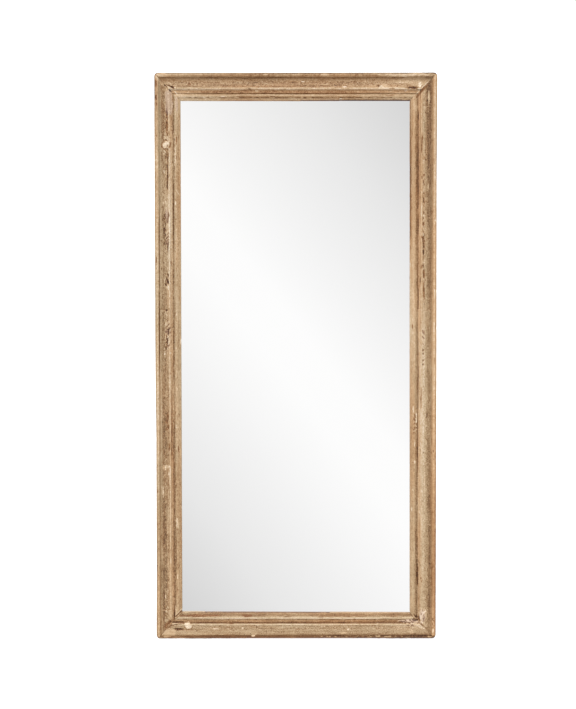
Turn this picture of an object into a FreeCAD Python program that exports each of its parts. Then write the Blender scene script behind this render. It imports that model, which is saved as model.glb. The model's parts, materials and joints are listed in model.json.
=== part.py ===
import FreeCAD, Part
import math
import os
import Sketcher

# Full-length floor mirror: a moulded, mitred wooden frame with a bevel-free glass, which
# leans back on a hinged easel stand.  Two coordinate systems are used besides the
# room's own (+Z up, mirror facing -Y, origin on the floor under the middle):
#   "frame" axes  - X across, Y out of the frame's back, Z up the frame, zero at the
#                   back edge of the frame's bottom;
#   "stand" axes  - X along the pivot, Y to the rear, Z up the legs, zero at the pivot.

Vector, Placement, Rotation = FreeCAD.Vector, FreeCAD.Placement, FreeCAD.Rotation
HALF_ROUND = 1.00001  # radius of a round end over its half-width: just short of a half circle

DIMENSIONS = {
    # outside of the frame
    "frame_width": 914.0,
    "frame_height": 1840.0,
    "face_width": 86.0,
    # the moulding: stations inward from the outer edge, heights above the back
    "bead_width": 15.0,
    "bead_spring": 40.8,
    "bead_radius": 8.0,
    "quirk_middle": 15.6,
    "quirk_bottom": 38.4,
    "cove_start": 16.5,
    "cove_start_height": 39.0,
    "cove_middle": 25.0,
    "cove_bottom": 34.0,
    "cove_end": 48.0,
    "cove_end_height": 42.0,
    "ridge_end": 52.0,
    "ridge_end_height": 38.2,
    "ridge_radius": 4.0,
    "flat_start": 52.6,
    "flat_end": 62.0,
    "flat_height": 36.0,
    "groove_start": 63.0,
    "groove_end": 64.5,
    "groove_height": 33.0,
    "inner_bead_end": 79.0,
    "inner_bead_radius": 9.0,
    "sight_start": 80.0,
    "sight_start_height": 32.0,
    "sight_height": 30.0,
    # the rebate that holds the glass
    "rebate_width": 12.0,
    "rebate_depth": 20.0,
    "spline_length": 48.0,
    "spline_width": 24.0,
    "spline_thickness": 4.0,
    "spline_inset": 40.0,
    "spline_height": 16.0,
    # glass, liner, board and their packing
    "glass_gap": 2.0,
    "glass_thickness": 5.0,
    "liner_thickness": 3.0,
    "board_thickness": 6.0,
    "packer_length": 90.0,
    # lean of the frame and of the legs, in degrees from upright
    "lean": 9.0,
    "leg_angle": 8.5,
    "heel_lift": 2.0,
    # easel stand
    "pivot_up": 1240.0,
    "pivot_back": 22.0,
    "leg_outer": 410.0,
    "leg_width": 36.0,
    "leg_depth": 30.0,
    "pad_thickness": 4.0,
    "rail_depth": 18.0,
    "rail_width": 44.0,
    "tenon_length": 22.0,
    "tenon_depth": 10.0,
    "tenon_width": 30.0,
    "bumper_radius": 9.0,
    "bumper_gap": 0.5,
    "bumper_offset": 3.0,
    # pivot brackets
    "cheek_inner": 412.0,
    "plate_thickness": 3.0,
    "flange_outer": 450.0,
    "bracket_reach": 60.0,
    "cheek_depth": 46.0,
    "cheek_shoulder": 18.0,
    "stop_radius": 40.0,
    "stop_bolt_radius": 3.0,
    "slot_clearance": 0.35,
    "cheek_chamfer": 8.0,
    "cheek_nose": 12.0,
    "bracket_screw_offset": 4.0,
    # pivot bolts with their washers and lock nuts
    "pivot_bolt_radius": 4.0,
    "pivot_hex_radius": 7.5,
    "pivot_head_length": 5.0,
    "pivot_nut_length": 7.0,
    "pivot_thread_spare": 2.0,
    "spacer_radius": 11.0,
    "head_washer_radius": 9.0,
    "head_washer_thickness": 1.5,
    "running_clearance": 0.06,
    "side_clearance": 0.3,
    # stop bolts with their washers and lock nuts
    "stop_hex_radius": 5.8,
    "stop_head_length": 4.0,
    "stop_nut_length": 5.0,
    "stop_thread_spare": 1.8,
    "stop_washer_radius": 6.5,
    "stop_washer_thickness": 1.2,
    # wood screws
    "screw_radius": 2.0,
    "screw_head_radius": 4.0,
    "screw_length": 20.0,
    "clip_screw_length": 14.0,
    # hanging rings and their straps
    "hanger_up": 1560.0,
    "hanger_across": 424.0,
    "ring_radius": 14.0,
    "ring_side": 5.0,
    "wire_radius": 1.75,
    "eye_wall": 1.6,
    "strap_width": 20.0,
    "strap_length": 48.0,
    "strap_thickness": 2.0,
    "strap_screw_upper": 10.5,
    "strap_screw_lower": 34.0,
    # corner braces, clips and feet
    "brace_arm": 105.0,
    "brace_width": 24.0,
    "brace_inset": 18.0,
    "brace_thickness": 2.5,
    "brace_screw_inset": 12.0,
    "clip_thickness": 1.5,
    "clip_width": 16.0,
    "clip_leaf": 20.0,
    "clip_toe": 15.0,
    "foot_length": 70.0,
    "foot_front": 21.0,
    "foot_rear": 4.0,
    "foot_across": 330.0,
}

# Levels that repeat: shares of the frame's height, shares of a bracket's reach, and
# distances down the legs from the pivot.
SPACER_LEVELS = (0.2, 0.8)
CLIP_LEVELS = (0.12, 0.38, 0.62, 0.88)
BRACKET_SCREW_LEVELS = (-0.75, 0.25, 0.75)
STAND_RAILS = {"stand_top_rail": 110.0, "stand_middle_rail": 600.0, "stand_bottom_rail": 1120.0}
BUMPERS_DOWN = (190.0, 1040.0)

doc = FreeCAD.newDocument("floor_mirror")
sheet = doc.addObject("Spreadsheet::Sheet", "dims")
for row, (alias, number) in enumerate(DIMENSIONS.items(), start=1):
    sheet.set("A%d" % row, alias)
    sheet.set("B%d" % row, str(number))
    sheet.setAlias("B%d" % row, alias)
doc.recompute()


# ---------------------------------------------------------------- sizes from the sheet

class Size:
    """A number together with the sheet expression that it comes from."""

    def __init__(self, value, text):
        self.value = value
        self.text = text

    def __add__(self, other):
        other = size(other)
        return Size(self.value + other.value, "(%s + %s)" % (self.text, other.text))

    def __sub__(self, other):
        other = size(other)
        return Size(self.value - other.value, "(%s - %s)" % (self.text, other.text))

    def __mul__(self, other):
        other = size(other)
        return Size(self.value * other.value, "(%s * %s)" % (self.text, other.text))

    def __truediv__(self, other):
        other = size(other)
        return Size(self.value / other.value, "(%s / %s)" % (self.text, other.text))

    def __radd__(self, other):
        return size(other) + self

    def __rsub__(self, other):
        return size(other) - self

    def __rmul__(self, other):
        return size(other) * self

    def __neg__(self):
        return size(0) - self


def size(number):
    """Any number as a Size."""
    if isinstance(number, Size):
        return number
    return Size(float(number), "%.6f" % number)


def sine(angle):
    return Size(math.sin(math.radians(angle.value)), "sin(%s)" % angle.text)


def cosine(angle):
    return Size(math.cos(math.radians(angle.value)), "cos(%s)" % angle.text)


class Dimensions:
    """dim.frame_width is the sheet's cell of that name, as a Size."""

    def __getattr__(self, alias):
        return Size(float(sheet.get(alias)), "dims.%s" % alias)


dim = Dimensions()


def bind(item, path, length):
    """Drive a property of a document object by the sheet."""
    item.setExpression(path, size(length).text)


# ---------------------------------------------------------------- sketching and solids

def new_body(name):
    return doc.addObject("PartDesign::Body", name)


def new_sketch(body, plane, lift=0):
    """A sketch on one of the body's own origin planes, lifted along its normal."""
    support = [item for item in body.Origin.OriginFeatures if item.Role == plane][0]
    sketch = body.newObject("Sketcher::SketchObject", body.Name + "_sketch")
    sketch.AttachmentSupport = (support, [""])
    sketch.MapMode = "FlatFace"
    bind(sketch, ".AttachmentOffset.Base.z", lift)
    return sketch


def pin_point(sketch, edge, point, x, y):
    """Hold one point of an edge at x, y by two driven distances."""
    for kind, length in (("DistanceX", x), ("DistanceY", y)):
        rule = Sketcher.Constraint(kind, -1, 1, edge, point, length.value)
        bind(sketch, "Constraints[%d]" % sketch.addConstraint(rule), length)


def arc_edge(start, end, radius):
    """The shorter arc from start to end: a positive radius turns left, a negative right."""
    chord = end - start
    left = Vector(-chord.y, chord.x, 0).normalize()
    rise = math.sqrt(max(radius ** 2 - (chord.Length / 2) ** 2, 0))
    centre = (start + end) / 2 + left * math.copysign(rise, radius)
    first, last = (start, end) if radius > 0 else (end, start)
    angles = [math.atan2(p.y - centre.y, p.x - centre.x) for p in (first, last)]
    if angles[1] < angles[0]:
        angles[1] += 2 * math.pi
    circle = Part.Circle(centre, Vector(0, 0, 1), abs(radius))
    return Part.ArcOfCircle(circle, angles[0], angles[1])


def draw_outline(sketch, corners):
    """Close an outline through corners (x, y) or (x, y, radius of the edge that leaves)."""
    corners = [tuple(size(value) for value in corner) for corner in corners]
    ends = []
    for corner, after in zip(corners, corners[1:] + corners[:1]):
        start = Vector(corner[0].value, corner[1].value, 0)
        end = Vector(after[0].value, after[1].value, 0)
        if len(corner) == 2:
            edge = sketch.addGeometry(Part.LineSegment(start, end))
            ends.append((edge, 1, 2))
            continue
        radius = corner[2]
        edge = sketch.addGeometry(arc_edge(start, end, radius.value))
        ends.append((edge, 1, 2) if radius.value > 0 else (edge, 2, 1))
    for here, after in zip(ends, ends[1:] + ends[:1]):
        rule = Sketcher.Constraint("Coincident", here[0], here[2], after[0], after[1])
        sketch.addConstraint(rule)
    for corner, (edge, point, _) in zip(corners, ends):
        pin_point(sketch, edge, point, corner[0], corner[1])
        if len(corner) == 3:
            bend = corner[2] if corner[2].value > 0 else -corner[2]
            rule = Sketcher.Constraint("Radius", edge, bend.value)
            bind(sketch, "Constraints[%d]" % sketch.addConstraint(rule), bend)


def draw_rectangle(sketch, x, y, wide, high):
    """A rectangle centred on x, y."""
    x, y, wide, high = size(x), size(y), size(wide), size(high)
    corners = [(-1, -1), (1, -1), (1, 1), (-1, 1)]
    draw_outline(sketch, [(x + i * wide / 2, y + j * high / 2) for i, j in corners])


def draw_circle(sketch, x, y, radius):
    x, y, radius = size(x), size(y), size(radius)
    circle = Part.Circle(Vector(x.value, y.value, 0), Vector(0, 0, 1), radius.value)
    edge = sketch.addGeometry(circle)
    pin_point(sketch, edge, 3, x, y)
    rule = Sketcher.Constraint("Radius", edge, radius.value)
    bind(sketch, "Constraints[%d]" % sketch.addConstraint(rule), radius)


def extrude(body, kind, sketch, length):
    """A Pad or Pocket of this length, half on each side of its sketch."""
    feature = body.newObject("PartDesign::" + kind, body.Name + "_" + kind.lower())
    feature.Profile = sketch
    feature.SideType = "Symmetric"
    bind(feature, "Length", length)
    sketch.Visibility = False
    return feature


def prism(name, plane, corners, length, lift=0):
    """A body that is one straight-sided outline, padded."""
    body = new_body(name)
    sketch = new_sketch(body, plane, lift)
    draw_outline(sketch, corners)
    extrude(body, "Pad", sketch, length)
    return body


def block(name, wide, deep, high):
    """A rectangular body centred on its own origin."""
    body = new_body(name)
    sketch = new_sketch(body, "XZ_Plane")
    draw_rectangle(sketch, 0, 0, wide, high)
    extrude(body, "Pad", sketch, deep)
    return body


def cylinder(name, radius, length, start=0, axis="X"):
    """A Part cylinder along X, Y or Z, beginning at a distance from its origin."""
    turns = {"X": (Vector(0, 1, 0), 90), "Y": (Vector(1, 0, 0), -90), "Z": (Vector(0, 0, 1), 0)}
    item = doc.addObject("Part::Cylinder", name)
    bind(item, "Radius", radius)
    bind(item, "Height", length)
    turn = Rotation(*turns[axis])
    item.Placement = Placement(turn.multVec(Vector(0, 0, size(start).value)), turn)
    return item


def fused(name, items):
    item = doc.addObject("Part::MultiFuse", name)
    item.Shapes = items
    return item


def cut(name, base, tools):
    """The base with every tool taken away."""
    for number, tool in enumerate(tools):
        item = doc.addObject("Part::Cut", "%s_cut_%d" % (name, number))
        item.Base = base
        item.Tool = tool
        base = item
    return base


# ---------------------------------------------------------------- where things stand

def spot(x=0, y=0, z=0, turn=0, about=(0, 1, 0)):
    """A place in frame or stand axes, turned in degrees about an axis."""
    corner = Vector(size(x).value, size(y).value, size(z).value)
    return Placement(corner, Rotation(Vector(*about), turn))


def frame_axes():
    """Frame axes in the room: leaning back, with the back edge lifted by the feet."""
    return Placement(Vector(0, 0, dim.heel_lift.value), Rotation(Vector(1, 0, 0), -dim.lean.value))


def stand_axes():
    """Stand axes in the room: at the pivot, with the legs' feet swung to the rear."""
    pivot = frame_axes().multVec(Vector(0, dim.pivot_back.value, dim.pivot_up.value))
    return Placement(pivot, Rotation(Vector(1, 0, 0), dim.leg_angle.value))


def pivot_height():
    """The pivot's height over the floor, as a Size."""
    rise = dim.pivot_up * cosine(dim.lean) - dim.pivot_back * sine(dim.lean)
    return dim.heel_lift + rise


NODES = []


def finish(item, name, axes, place=None):
    """Name a sub-part and stand it in the room."""
    item.Label = name
    item.Placement = axes.multiply(place) if place else axes
    NODES.append(item)
    return item


def copies(name, pattern, places):
    """Identical separate pieces, side by side in one compound."""
    links = []
    for number, place in enumerate(places):
        link = doc.addObject("App::Link", "%s_%d" % (name, number))
        link.LinkedObject = pattern
        link.Placement = place
        links.append(link)
    item = doc.addObject("Part::Compound", name + "_group")
    item.Links = links
    return item


# ---------------------------------------------------------------- the moulded frame

def moulding_section():
    """The moulding as (height above the back, distance inward, bend) from the outer edge."""
    drop = dim.cove_start_height - dim.cove_bottom
    run = dim.cove_middle - dim.cove_start
    rise = dim.cove_end_height - dim.cove_bottom
    reach = dim.cove_end - dim.cove_middle
    return [
        (dim.bead_spring, 0, -dim.bead_radius),
        (dim.bead_spring, dim.bead_width),
        (dim.quirk_bottom, dim.quirk_middle),
        (dim.cove_start_height, dim.cove_start, (run * run + drop * drop) / (2 * drop)),
        (dim.cove_bottom, dim.cove_middle, (reach * reach + rise * rise) / (2 * rise)),
        (dim.cove_end_height, dim.cove_end, -dim.ridge_radius),
        (dim.ridge_end_height, dim.ridge_end),
        (dim.flat_height, dim.flat_start),
        (dim.flat_height, dim.flat_end),
        (dim.groove_height, dim.groove_start),
        (dim.groove_height, dim.groove_end, -dim.inner_bead_radius),
        (dim.groove_height, dim.inner_bead_end),
        (dim.sight_start_height, dim.sight_start),
        (dim.sight_height, dim.face_width),
        (dim.rebate_depth, dim.face_width),
        (dim.rebate_depth, dim.face_width - dim.rebate_width),
        (0, dim.face_width - dim.rebate_width),
        (0, 0),
    ]


def moulded_rail(name, length, place):
    """One side of the frame, lying along X with its outer edge at Z = 0, mitred at both
    ends and slotted for the splines."""
    rail = new_body(name)
    section = new_sketch(rail, "YZ_Plane")
    corners = [(-size(corner[0]),) + corner[1:] for corner in moulding_section()]
    draw_outline(section, corners)
    extrude(rail, "Pad", section, length)
    spare = 10
    for side in (-1, 1):
        mitre = new_sketch(rail, "XZ_Plane")
        end = length / 2
        draw_outline(mitre, [
            (side * (end + spare), size(-spare)),
            (side * (end + spare), dim.face_width + spare),
            (side * (end - dim.face_width - spare), dim.face_width + spare),
        ])
        extrude(rail, "Pocket", mitre, 4 * dim.bead_spring)
        slot = new_sketch(rail, "XZ_Plane", dim.spline_height)
        half, wing = dim.spline_length / 2, dim.spline_width / 2
        step = math.sqrt(0.5)
        middle = end - dim.spline_inset
        draw_outline(slot, [
            (side * (middle + step * (-i * half + j * wing)),
             dim.spline_inset + step * (i * half + j * wing))
            for i, j in ((-1, -1), (-1, 1), (1, 1), (1, -1))
        ])
        extrude(rail, "Pocket", slot, dim.spline_thickness)
    return finish(rail, name, frame_axes(), place)


def moulded_frame():
    wide, high = dim.frame_width, dim.frame_height
    moulded_rail("frame_bottom_rail", wide, spot())
    moulded_rail("frame_top_rail", wide, spot(z=high, turn=180))
    moulded_rail("frame_right_stile", high, spot(x=wide / 2, z=high / 2, turn=-90))
    moulded_rail("frame_left_stile", high, spot(x=-wide / 2, z=high / 2, turn=90))


def frame_corners():
    """Each corner's name with its side (-1 left, 1 right) and its rise (-1 low, 1 high)."""
    for rise, level in ((-1, "bottom"), (1, "top")):
        for side, hand in ((-1, "left"), (1, "right")):
            yield "%s_%s" % (level, hand), side, rise


def mitre_splines():
    """Loose tongues across the four mitres, hidden in the wood."""
    tongue = block("spline", dim.spline_length, dim.spline_thickness, dim.spline_width)
    places = []
    for _, side, rise in frame_corners():
        x = side * (dim.frame_width / 2 - dim.spline_inset)
        z = dim.frame_height / 2 + rise * (dim.frame_height / 2 - dim.spline_inset)
        places.append(spot(x, -dim.spline_height, z, turn=-45 * side * rise))
    finish(copies("splines", tongue, places), "mitre_splines", frame_axes())


# ---------------------------------------------------------------- screws and plates

def wood_screw(name, length):
    """A countersunk screw along -Y, its head flush with Y = 0, pointed at the far end."""
    head_depth = dim.screw_head_radius - dim.screw_radius
    screw = new_body(name)
    outline = new_sketch(screw, "XY_Plane")
    point = dim.screw_radius * 2
    draw_outline(outline, [
        (0, 0),
        (0, -length),
        (dim.screw_radius, point - length),
        (dim.screw_radius, -head_depth),
        (dim.screw_head_radius, 0),
    ])
    turned = screw.newObject("PartDesign::Revolution", name + "_turned")
    turned.Profile = outline
    turned.ReferenceAxis = (outline, ["V_Axis"])
    turned.Angle = 360
    return screw


def corner_braces():
    """Flat steel L plates over the mitres at the back, with four screws each."""
    screw = wood_screw("brace_screw", dim.screw_length)
    arm, width, thick = dim.brace_arm, dim.brace_width, dim.brace_thickness
    end = arm - dim.brace_screw_inset
    holes = [(end, width / 2), (arm / 2, width / 2), (width / 2, arm / 2), (width / 2, end)]
    screw_places = []
    for corner, side, rise in frame_corners():
        x = side * (dim.frame_width / 2 - dim.brace_inset)
        z = dim.frame_height / 2 + rise * (dim.frame_height / 2 - dim.brace_inset)
        outline = [(0, 0), (arm, 0), (arm, width), (width, width), (width, arm), (0, arm)]
        outline = [(x - side * size(i), z - rise * size(j)) for i, j in outline]
        plate = prism("brace_" + corner, "XZ_Plane", outline, thick, -thick / 2)
        places = [spot(x - side * i, thick, z - rise * j) for i, j in holes]
        screws = copies("brace_screws_" + corner, screw, places)
        holed = cut("brace_" + corner, plate, [screws])
        finish(holed, "corner_brace_" + corner, frame_axes())
        screw_places += places
    finish(copies("brace_screws", screw, screw_places), "corner_brace_screws", frame_axes())


# ---------------------------------------------------------------- glass and backing

def sheet_in_rebate(name, gap, front, thickness):
    """A flat sheet in the rebate, this far from its walls, its front face at a height."""
    across = dim.frame_width - 2 * (dim.face_width - dim.rebate_width)
    tall = dim.frame_height - 2 * (dim.face_width - dim.rebate_width)
    item = block(name, across - 2 * gap, thickness, tall - 2 * gap)
    place = spot(0, thickness / 2 - front, dim.frame_height / 2)
    return finish(item, name, frame_axes(), place)


def glass_pack():
    """Silvered glass, cardboard liner and board, one behind the other."""
    front = dim.rebate_depth
    behind_glass = front - dim.glass_thickness
    behind_liner = behind_glass - dim.liner_thickness
    sheet_in_rebate("mirror_glass", dim.glass_gap, front, dim.glass_thickness)
    sheet_in_rebate("cardboard_liner", dim.glass_gap, behind_glass, dim.liner_thickness)
    sheet_in_rebate("backing_board", dim.glass_gap / 2, behind_liner, dim.board_thickness)


def glass_packers():
    """Rubber setting blocks under the glass, and spacers up its two sides."""
    wall = dim.face_width - dim.rebate_width
    y = dim.glass_thickness / 2 - dim.rebate_depth
    flat = block("setting_block", dim.packer_length, dim.glass_thickness, dim.glass_gap)
    places = [spot(side * dim.frame_width / 4, y, wall + dim.glass_gap / 2) for side in (-1, 1)]
    finish(copies("setting_blocks", flat, places), "glass_setting_blocks", frame_axes())
    tall = block("edge_spacer", dim.glass_gap, dim.glass_thickness, dim.packer_length)
    across = dim.frame_width / 2 - wall - dim.glass_gap / 2
    places = [spot(side * across, y, dim.frame_height * level)
              for side in (-1, 1) for level in SPACER_LEVELS]
    finish(copies("edge_spacers", tall, places), "glass_edge_spacers", frame_axes())


def clip_places():
    """Frame-axis places of the offset clips: their own Z points in from the rebate's edge."""
    wall = dim.face_width - dim.rebate_width
    for level in CLIP_LEVELS:
        z = dim.frame_height * level
        yield spot(dim.frame_width / 2 - wall, 0, z, turn=-90)
        yield spot(wall - dim.frame_width / 2, 0, z, turn=90)
    for side in (-1, 1):
        x = side * dim.frame_width / 6
        yield spot(x, 0, wall)
        yield spot(x, 0, dim.frame_height - wall, turn=180)


def backing_clips():
    """Z-bent spring clips screwed to the wood, their toes pressing on the board."""
    thick = dim.clip_thickness
    board = dim.rebate_depth - dim.glass_thickness - dim.liner_thickness - dim.board_thickness
    inner = thick + dim.glass_gap
    clip = prism("clip", "YZ_Plane", [
        (0, -dim.clip_leaf),
        (thick, -dim.clip_leaf),
        (thick, inner),
        (thick - board, inner),
        (thick - board, dim.clip_toe),
        (-board, dim.clip_toe),
        (-board, dim.glass_gap),
        (0, dim.glass_gap),
    ], dim.clip_width)
    screw = wood_screw("clip_screw", dim.clip_screw_length)
    local = spot(0, thick, -dim.clip_leaf / 2)
    driven = doc.addObject("App::Link", "clip_screw_in_place")
    driven.LinkedObject = screw
    driven.Placement = local
    holed = cut("clip", clip, [driven])
    places = list(clip_places())
    finish(copies("clips", holed, places), "backing_clips", frame_axes())
    screw_places = [place.multiply(local) for place in places]
    finish(copies("clip_screws", screw, screw_places), "backing_clip_screws", frame_axes())


# ---------------------------------------------------------------- bolts, nuts, washers

def hexagon(radius):
    """Corners of a hexagon of this corner radius."""
    return [(radius * math.cos(math.radians(turn)), radius * math.sin(math.radians(turn)))
            for turn in range(0, 360, 60)]


def hex_nut(name, corner_radius, length, start, bore):
    """A bored hexagon along +X from a start."""
    item = new_body(name)
    outline = new_sketch(item, "YZ_Plane", start + length / 2)
    draw_outline(outline, hexagon(corner_radius))
    draw_circle(outline, 0, 0, bore)
    extrude(item, "Pad", outline, length)
    return item


def washer(name, outer, bore, length, start):
    item = new_body(name)
    outline = new_sketch(item, "YZ_Plane", start + length / 2)
    draw_circle(outline, 0, 0, outer)
    draw_circle(outline, 0, 0, bore)
    extrude(item, "Pad", outline, length)
    return item


def bolt(name, radius, start, end, head_length, head_radius):
    """A hex bolt along X: the head ends at start, the shank runs from there to end."""
    item = new_body(name)
    head = new_sketch(item, "YZ_Plane", start - head_length / 2)
    draw_outline(head, hexagon(head_radius))
    extrude(item, "Pad", head, head_length)
    shank = new_sketch(item, "YZ_Plane", (start + end) / 2)
    draw_circle(shank, 0, 0, radius)
    extrude(item, "Pad", shank, end - start)
    return item


HANDS = (("left", -1), ("right", 1))
HALF_TURN = 180


def handed(side, x=0, y=0, z=0):
    """A place whose own +X points away from the middle, on the left or the right."""
    return spot(side * size(x), y, z, 0 if side > 0 else HALF_TURN, (0, 0, 1))


# ---------------------------------------------------------------- pivot hardware

def pivot_bracket(name, side):
    """A steel angle: flange on the stile's back, cheek with the pivot hole and the curved
    slot that stops the stand."""
    thick = dim.plate_thickness
    reach, deep, shoulder = dim.bracket_reach, dim.cheek_depth, dim.cheek_shoulder
    bracket = new_body(name)
    cheek_middle = side * (dim.cheek_inner + thick / 2)
    cheek = new_sketch(bracket, "YZ_Plane", cheek_middle)
    y, z = dim.pivot_back, dim.pivot_up
    draw_outline(cheek, [
        (0, z - reach),
        (deep - dim.cheek_chamfer, z - reach),
        (deep, z - reach + dim.cheek_chamfer),
        (deep, z - shoulder / 2),
        (deep - dim.cheek_nose, z + shoulder),
        (thick, z + reach),
        (0, z + reach),
    ])
    extrude(bracket, "Pad", cheek, thick)
    flange = new_sketch(bracket, "XZ_Plane", -thick / 2)
    wide = dim.flange_outer - dim.cheek_inner
    draw_rectangle(flange, side * (dim.cheek_inner + wide / 2), z, wide, 2 * reach)
    extrude(bracket, "Pad", flange, thick)
    hole = new_sketch(bracket, "YZ_Plane", cheek_middle)
    draw_circle(hole, y, z, dim.pivot_bolt_radius)
    extrude(bracket, "Pocket", hole, 2 * thick)
    slot = new_sketch(bracket, "YZ_Plane", cheek_middle)
    draw_stop_slot(slot, y, z)
    extrude(bracket, "Pocket", slot, 2 * thick)
    return bracket


def draw_stop_slot(sketch, y, z):
    """The stop bolt's path round the pivot, from folded to open, with round ends."""
    half = dim.stop_bolt_radius + dim.slot_clearance
    opening = dim.lean + dim.leg_angle
    inner, outer = dim.stop_radius - half, dim.stop_radius + half

    def point(radius, angle):
        return y + radius * sine(angle), z - radius * cosine(angle)

    shut = size(0)
    draw_outline(sketch, [
        point(outer, shut) + (outer,),
        point(outer, opening) + (half * HALF_ROUND,),
        point(inner, opening) + (-inner,),
        point(inner, shut) + (half * HALF_ROUND,),
    ])


def bracket_screw_places(side):
    across = (dim.cheek_inner + dim.flange_outer) / 2 + dim.bracket_screw_offset
    for rise in BRACKET_SCREW_LEVELS:
        z = dim.pivot_up + rise * dim.bracket_reach
        yield spot(side * across, dim.plate_thickness, z)


def pivot_hardware():
    """Brackets, pivot bolts, washers and lock nuts: all of it fixed to the frame."""
    screw = wood_screw("bracket_screw", dim.screw_length)
    thick = dim.plate_thickness
    y, z = dim.pivot_back, dim.pivot_up
    gap = dim.side_clearance
    leg_inner = dim.leg_outer - dim.leg_width
    bore, hexagonal = dim.pivot_bolt_radius, dim.pivot_hex_radius
    head_seat = leg_inner - gap - dim.head_washer_thickness
    nut_start = dim.cheek_inner + thick
    tip = nut_start + dim.pivot_nut_length + dim.pivot_thread_spare
    for hand, side in HANDS:
        name = hand + "_pivot_bracket"
        screws = copies(name + "_screws", screw, bracket_screw_places(side))
        holed = cut(name, pivot_bracket(name + "_plate", side), [screws])
        finish(holed, name, frame_axes())
        shaft = bolt(hand + "_bolt", bore, head_seat, tip, dim.pivot_head_length, hexagonal)
        finish(shaft, hand + "_pivot_bolt", frame_axes(), handed(side, 0, y, z))
    places = [handed(side, 0, y, z) for _, side in HANDS]
    spacer = washer("spacer", dim.spacer_radius, bore,
                    dim.cheek_inner - dim.leg_outer - gap, dim.leg_outer + gap)
    finish(copies("spacers", spacer, places), "pivot_spacer_washers", frame_axes())
    inner = washer("head_washer", dim.head_washer_radius, bore, dim.head_washer_thickness,
                   head_seat)
    finish(copies("head_washers", inner, places), "pivot_head_washers", frame_axes())
    nut = hex_nut("pivot_nut", hexagonal, dim.pivot_nut_length, nut_start, bore)
    finish(copies("pivot_nuts", nut, places), "pivot_lock_nuts", frame_axes())
    places = [place for _, side in HANDS for place in bracket_screw_places(side)]
    finish(copies("bracket_screws", screw, places), "pivot_bracket_screws", frame_axes())


def stop_hardware():
    """Bolts through the legs that run in the brackets' slots, with washer and nut."""
    leg_inner = dim.leg_outer - dim.leg_width
    cheek_outer = dim.cheek_inner + dim.plate_thickness
    washer_start = cheek_outer + dim.side_clearance
    nut_start = washer_start + dim.stop_washer_thickness
    tip = nut_start + dim.stop_nut_length + dim.stop_thread_spare
    radius, hexagonal = dim.stop_bolt_radius, dim.stop_hex_radius
    for hand, side in HANDS:
        place = handed(side, 0, 0, -dim.stop_radius)
        shaft = bolt(hand + "_stop", radius, leg_inner, tip, dim.stop_head_length, hexagonal)
        finish(shaft, hand + "_stop_bolt", stand_axes(), place)
    places = [handed(side, 0, 0, -dim.stop_radius) for _, side in HANDS]
    ring = washer("stop_washer", dim.stop_washer_radius, radius, dim.stop_washer_thickness,
                  washer_start)
    finish(copies("stop_washers", ring, places), "stop_bolt_washers", stand_axes())
    nut = hex_nut("stop_nut", hexagonal, dim.stop_nut_length, nut_start, radius)
    finish(copies("stop_nuts", nut, places), "stop_lock_nuts", stand_axes())


# ---------------------------------------------------------------- easel stand

def sole_level(lift, back):
    """Stand-axis height of a level this far over the floor, at a distance to the rear."""
    level = size(lift) - pivot_height() - back * sine(dim.leg_angle)
    return level / cosine(dim.leg_angle)


def leg(name, side):
    """A leg with a round top, bored for its bolts and mortised for the rails."""
    half, width = dim.leg_depth / 2, dim.leg_width
    middle = side * (dim.leg_outer - width / 2)
    item = new_body(name)
    outline = new_sketch(item, "YZ_Plane", middle)
    draw_outline(outline, [
        (half, 0, half * HALF_ROUND),
        (-half, 0),
        (-half, sole_level(dim.pad_thickness, -half)),
        (half, sole_level(dim.pad_thickness, half)),
    ])
    extrude(item, "Pad", outline, width)
    bores = new_sketch(item, "YZ_Plane", middle)
    draw_circle(bores, 0, 0, dim.pivot_bolt_radius + dim.running_clearance)
    draw_circle(bores, 0, -dim.stop_radius, dim.stop_bolt_radius)
    extrude(item, "Pocket", bores, 2 * width)
    inner_face = side * (dim.leg_outer - width)
    mortises = new_sketch(item, "YZ_Plane", inner_face)
    for down in STAND_RAILS.values():
        draw_rectangle(mortises, 0, -down, dim.tenon_depth, dim.tenon_width)
    extrude(item, "Pocket", mortises, 2 * dim.tenon_length)
    finish(item, name, stand_axes())


def stand_rail(name, down):
    """A flat cross rail with a tenon at each end."""
    between = 2 * (dim.leg_outer - dim.leg_width)
    item = new_body(name)
    board = new_sketch(item, "XZ_Plane")
    draw_rectangle(board, 0, 0, between, dim.rail_width)
    extrude(item, "Pad", board, dim.rail_depth)
    tenons = new_sketch(item, "XZ_Plane")
    draw_rectangle(tenons, 0, 0, between + 2 * dim.tenon_length, dim.tenon_width)
    extrude(item, "Pad", tenons, dim.tenon_depth)
    finish(item, name, stand_axes(), spot(z=-down))


def leg_foot_pad(name, side):
    """A rubber sole, level with the floor when the stand is open."""
    half = dim.leg_depth / 2
    corners = [(back, sole_level(lift, back)) for back, lift in (
        (-half, dim.pad_thickness), (-half, 0), (half, 0), (half, dim.pad_thickness))]
    middle = side * (dim.leg_outer - dim.leg_width / 2)
    item = prism(name, "YZ_Plane", corners, dim.leg_width, middle)
    finish(item, name, stand_axes())


def bumpers():
    """Rubber buttons that keep the folded legs off the frame's back."""
    length = dim.pivot_back - dim.leg_depth / 2 - dim.bumper_gap
    button = cylinder("bumper", dim.bumper_radius, length, axis="Y")
    across = dim.leg_outer - dim.leg_width / 2 + dim.bumper_offset
    front = -dim.leg_depth / 2 - length
    places = [spot(side * across, front, -down) for side in (-1, 1) for down in BUMPERS_DOWN]
    holder = [place.multiply(button.Placement) for place in places]
    finish(copies("bumpers", button, holder), "stand_bumpers", stand_axes())


def easel_stand():
    for hand, side in HANDS:
        leg(hand + "_leg", side)
        leg_foot_pad(hand + "_leg_foot_pad", side)
    for name, down in STAND_RAILS.items():
        stand_rail(name, down)
    bumpers()
    stop_hardware()


# ---------------------------------------------------------------- feet and hangers

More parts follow.
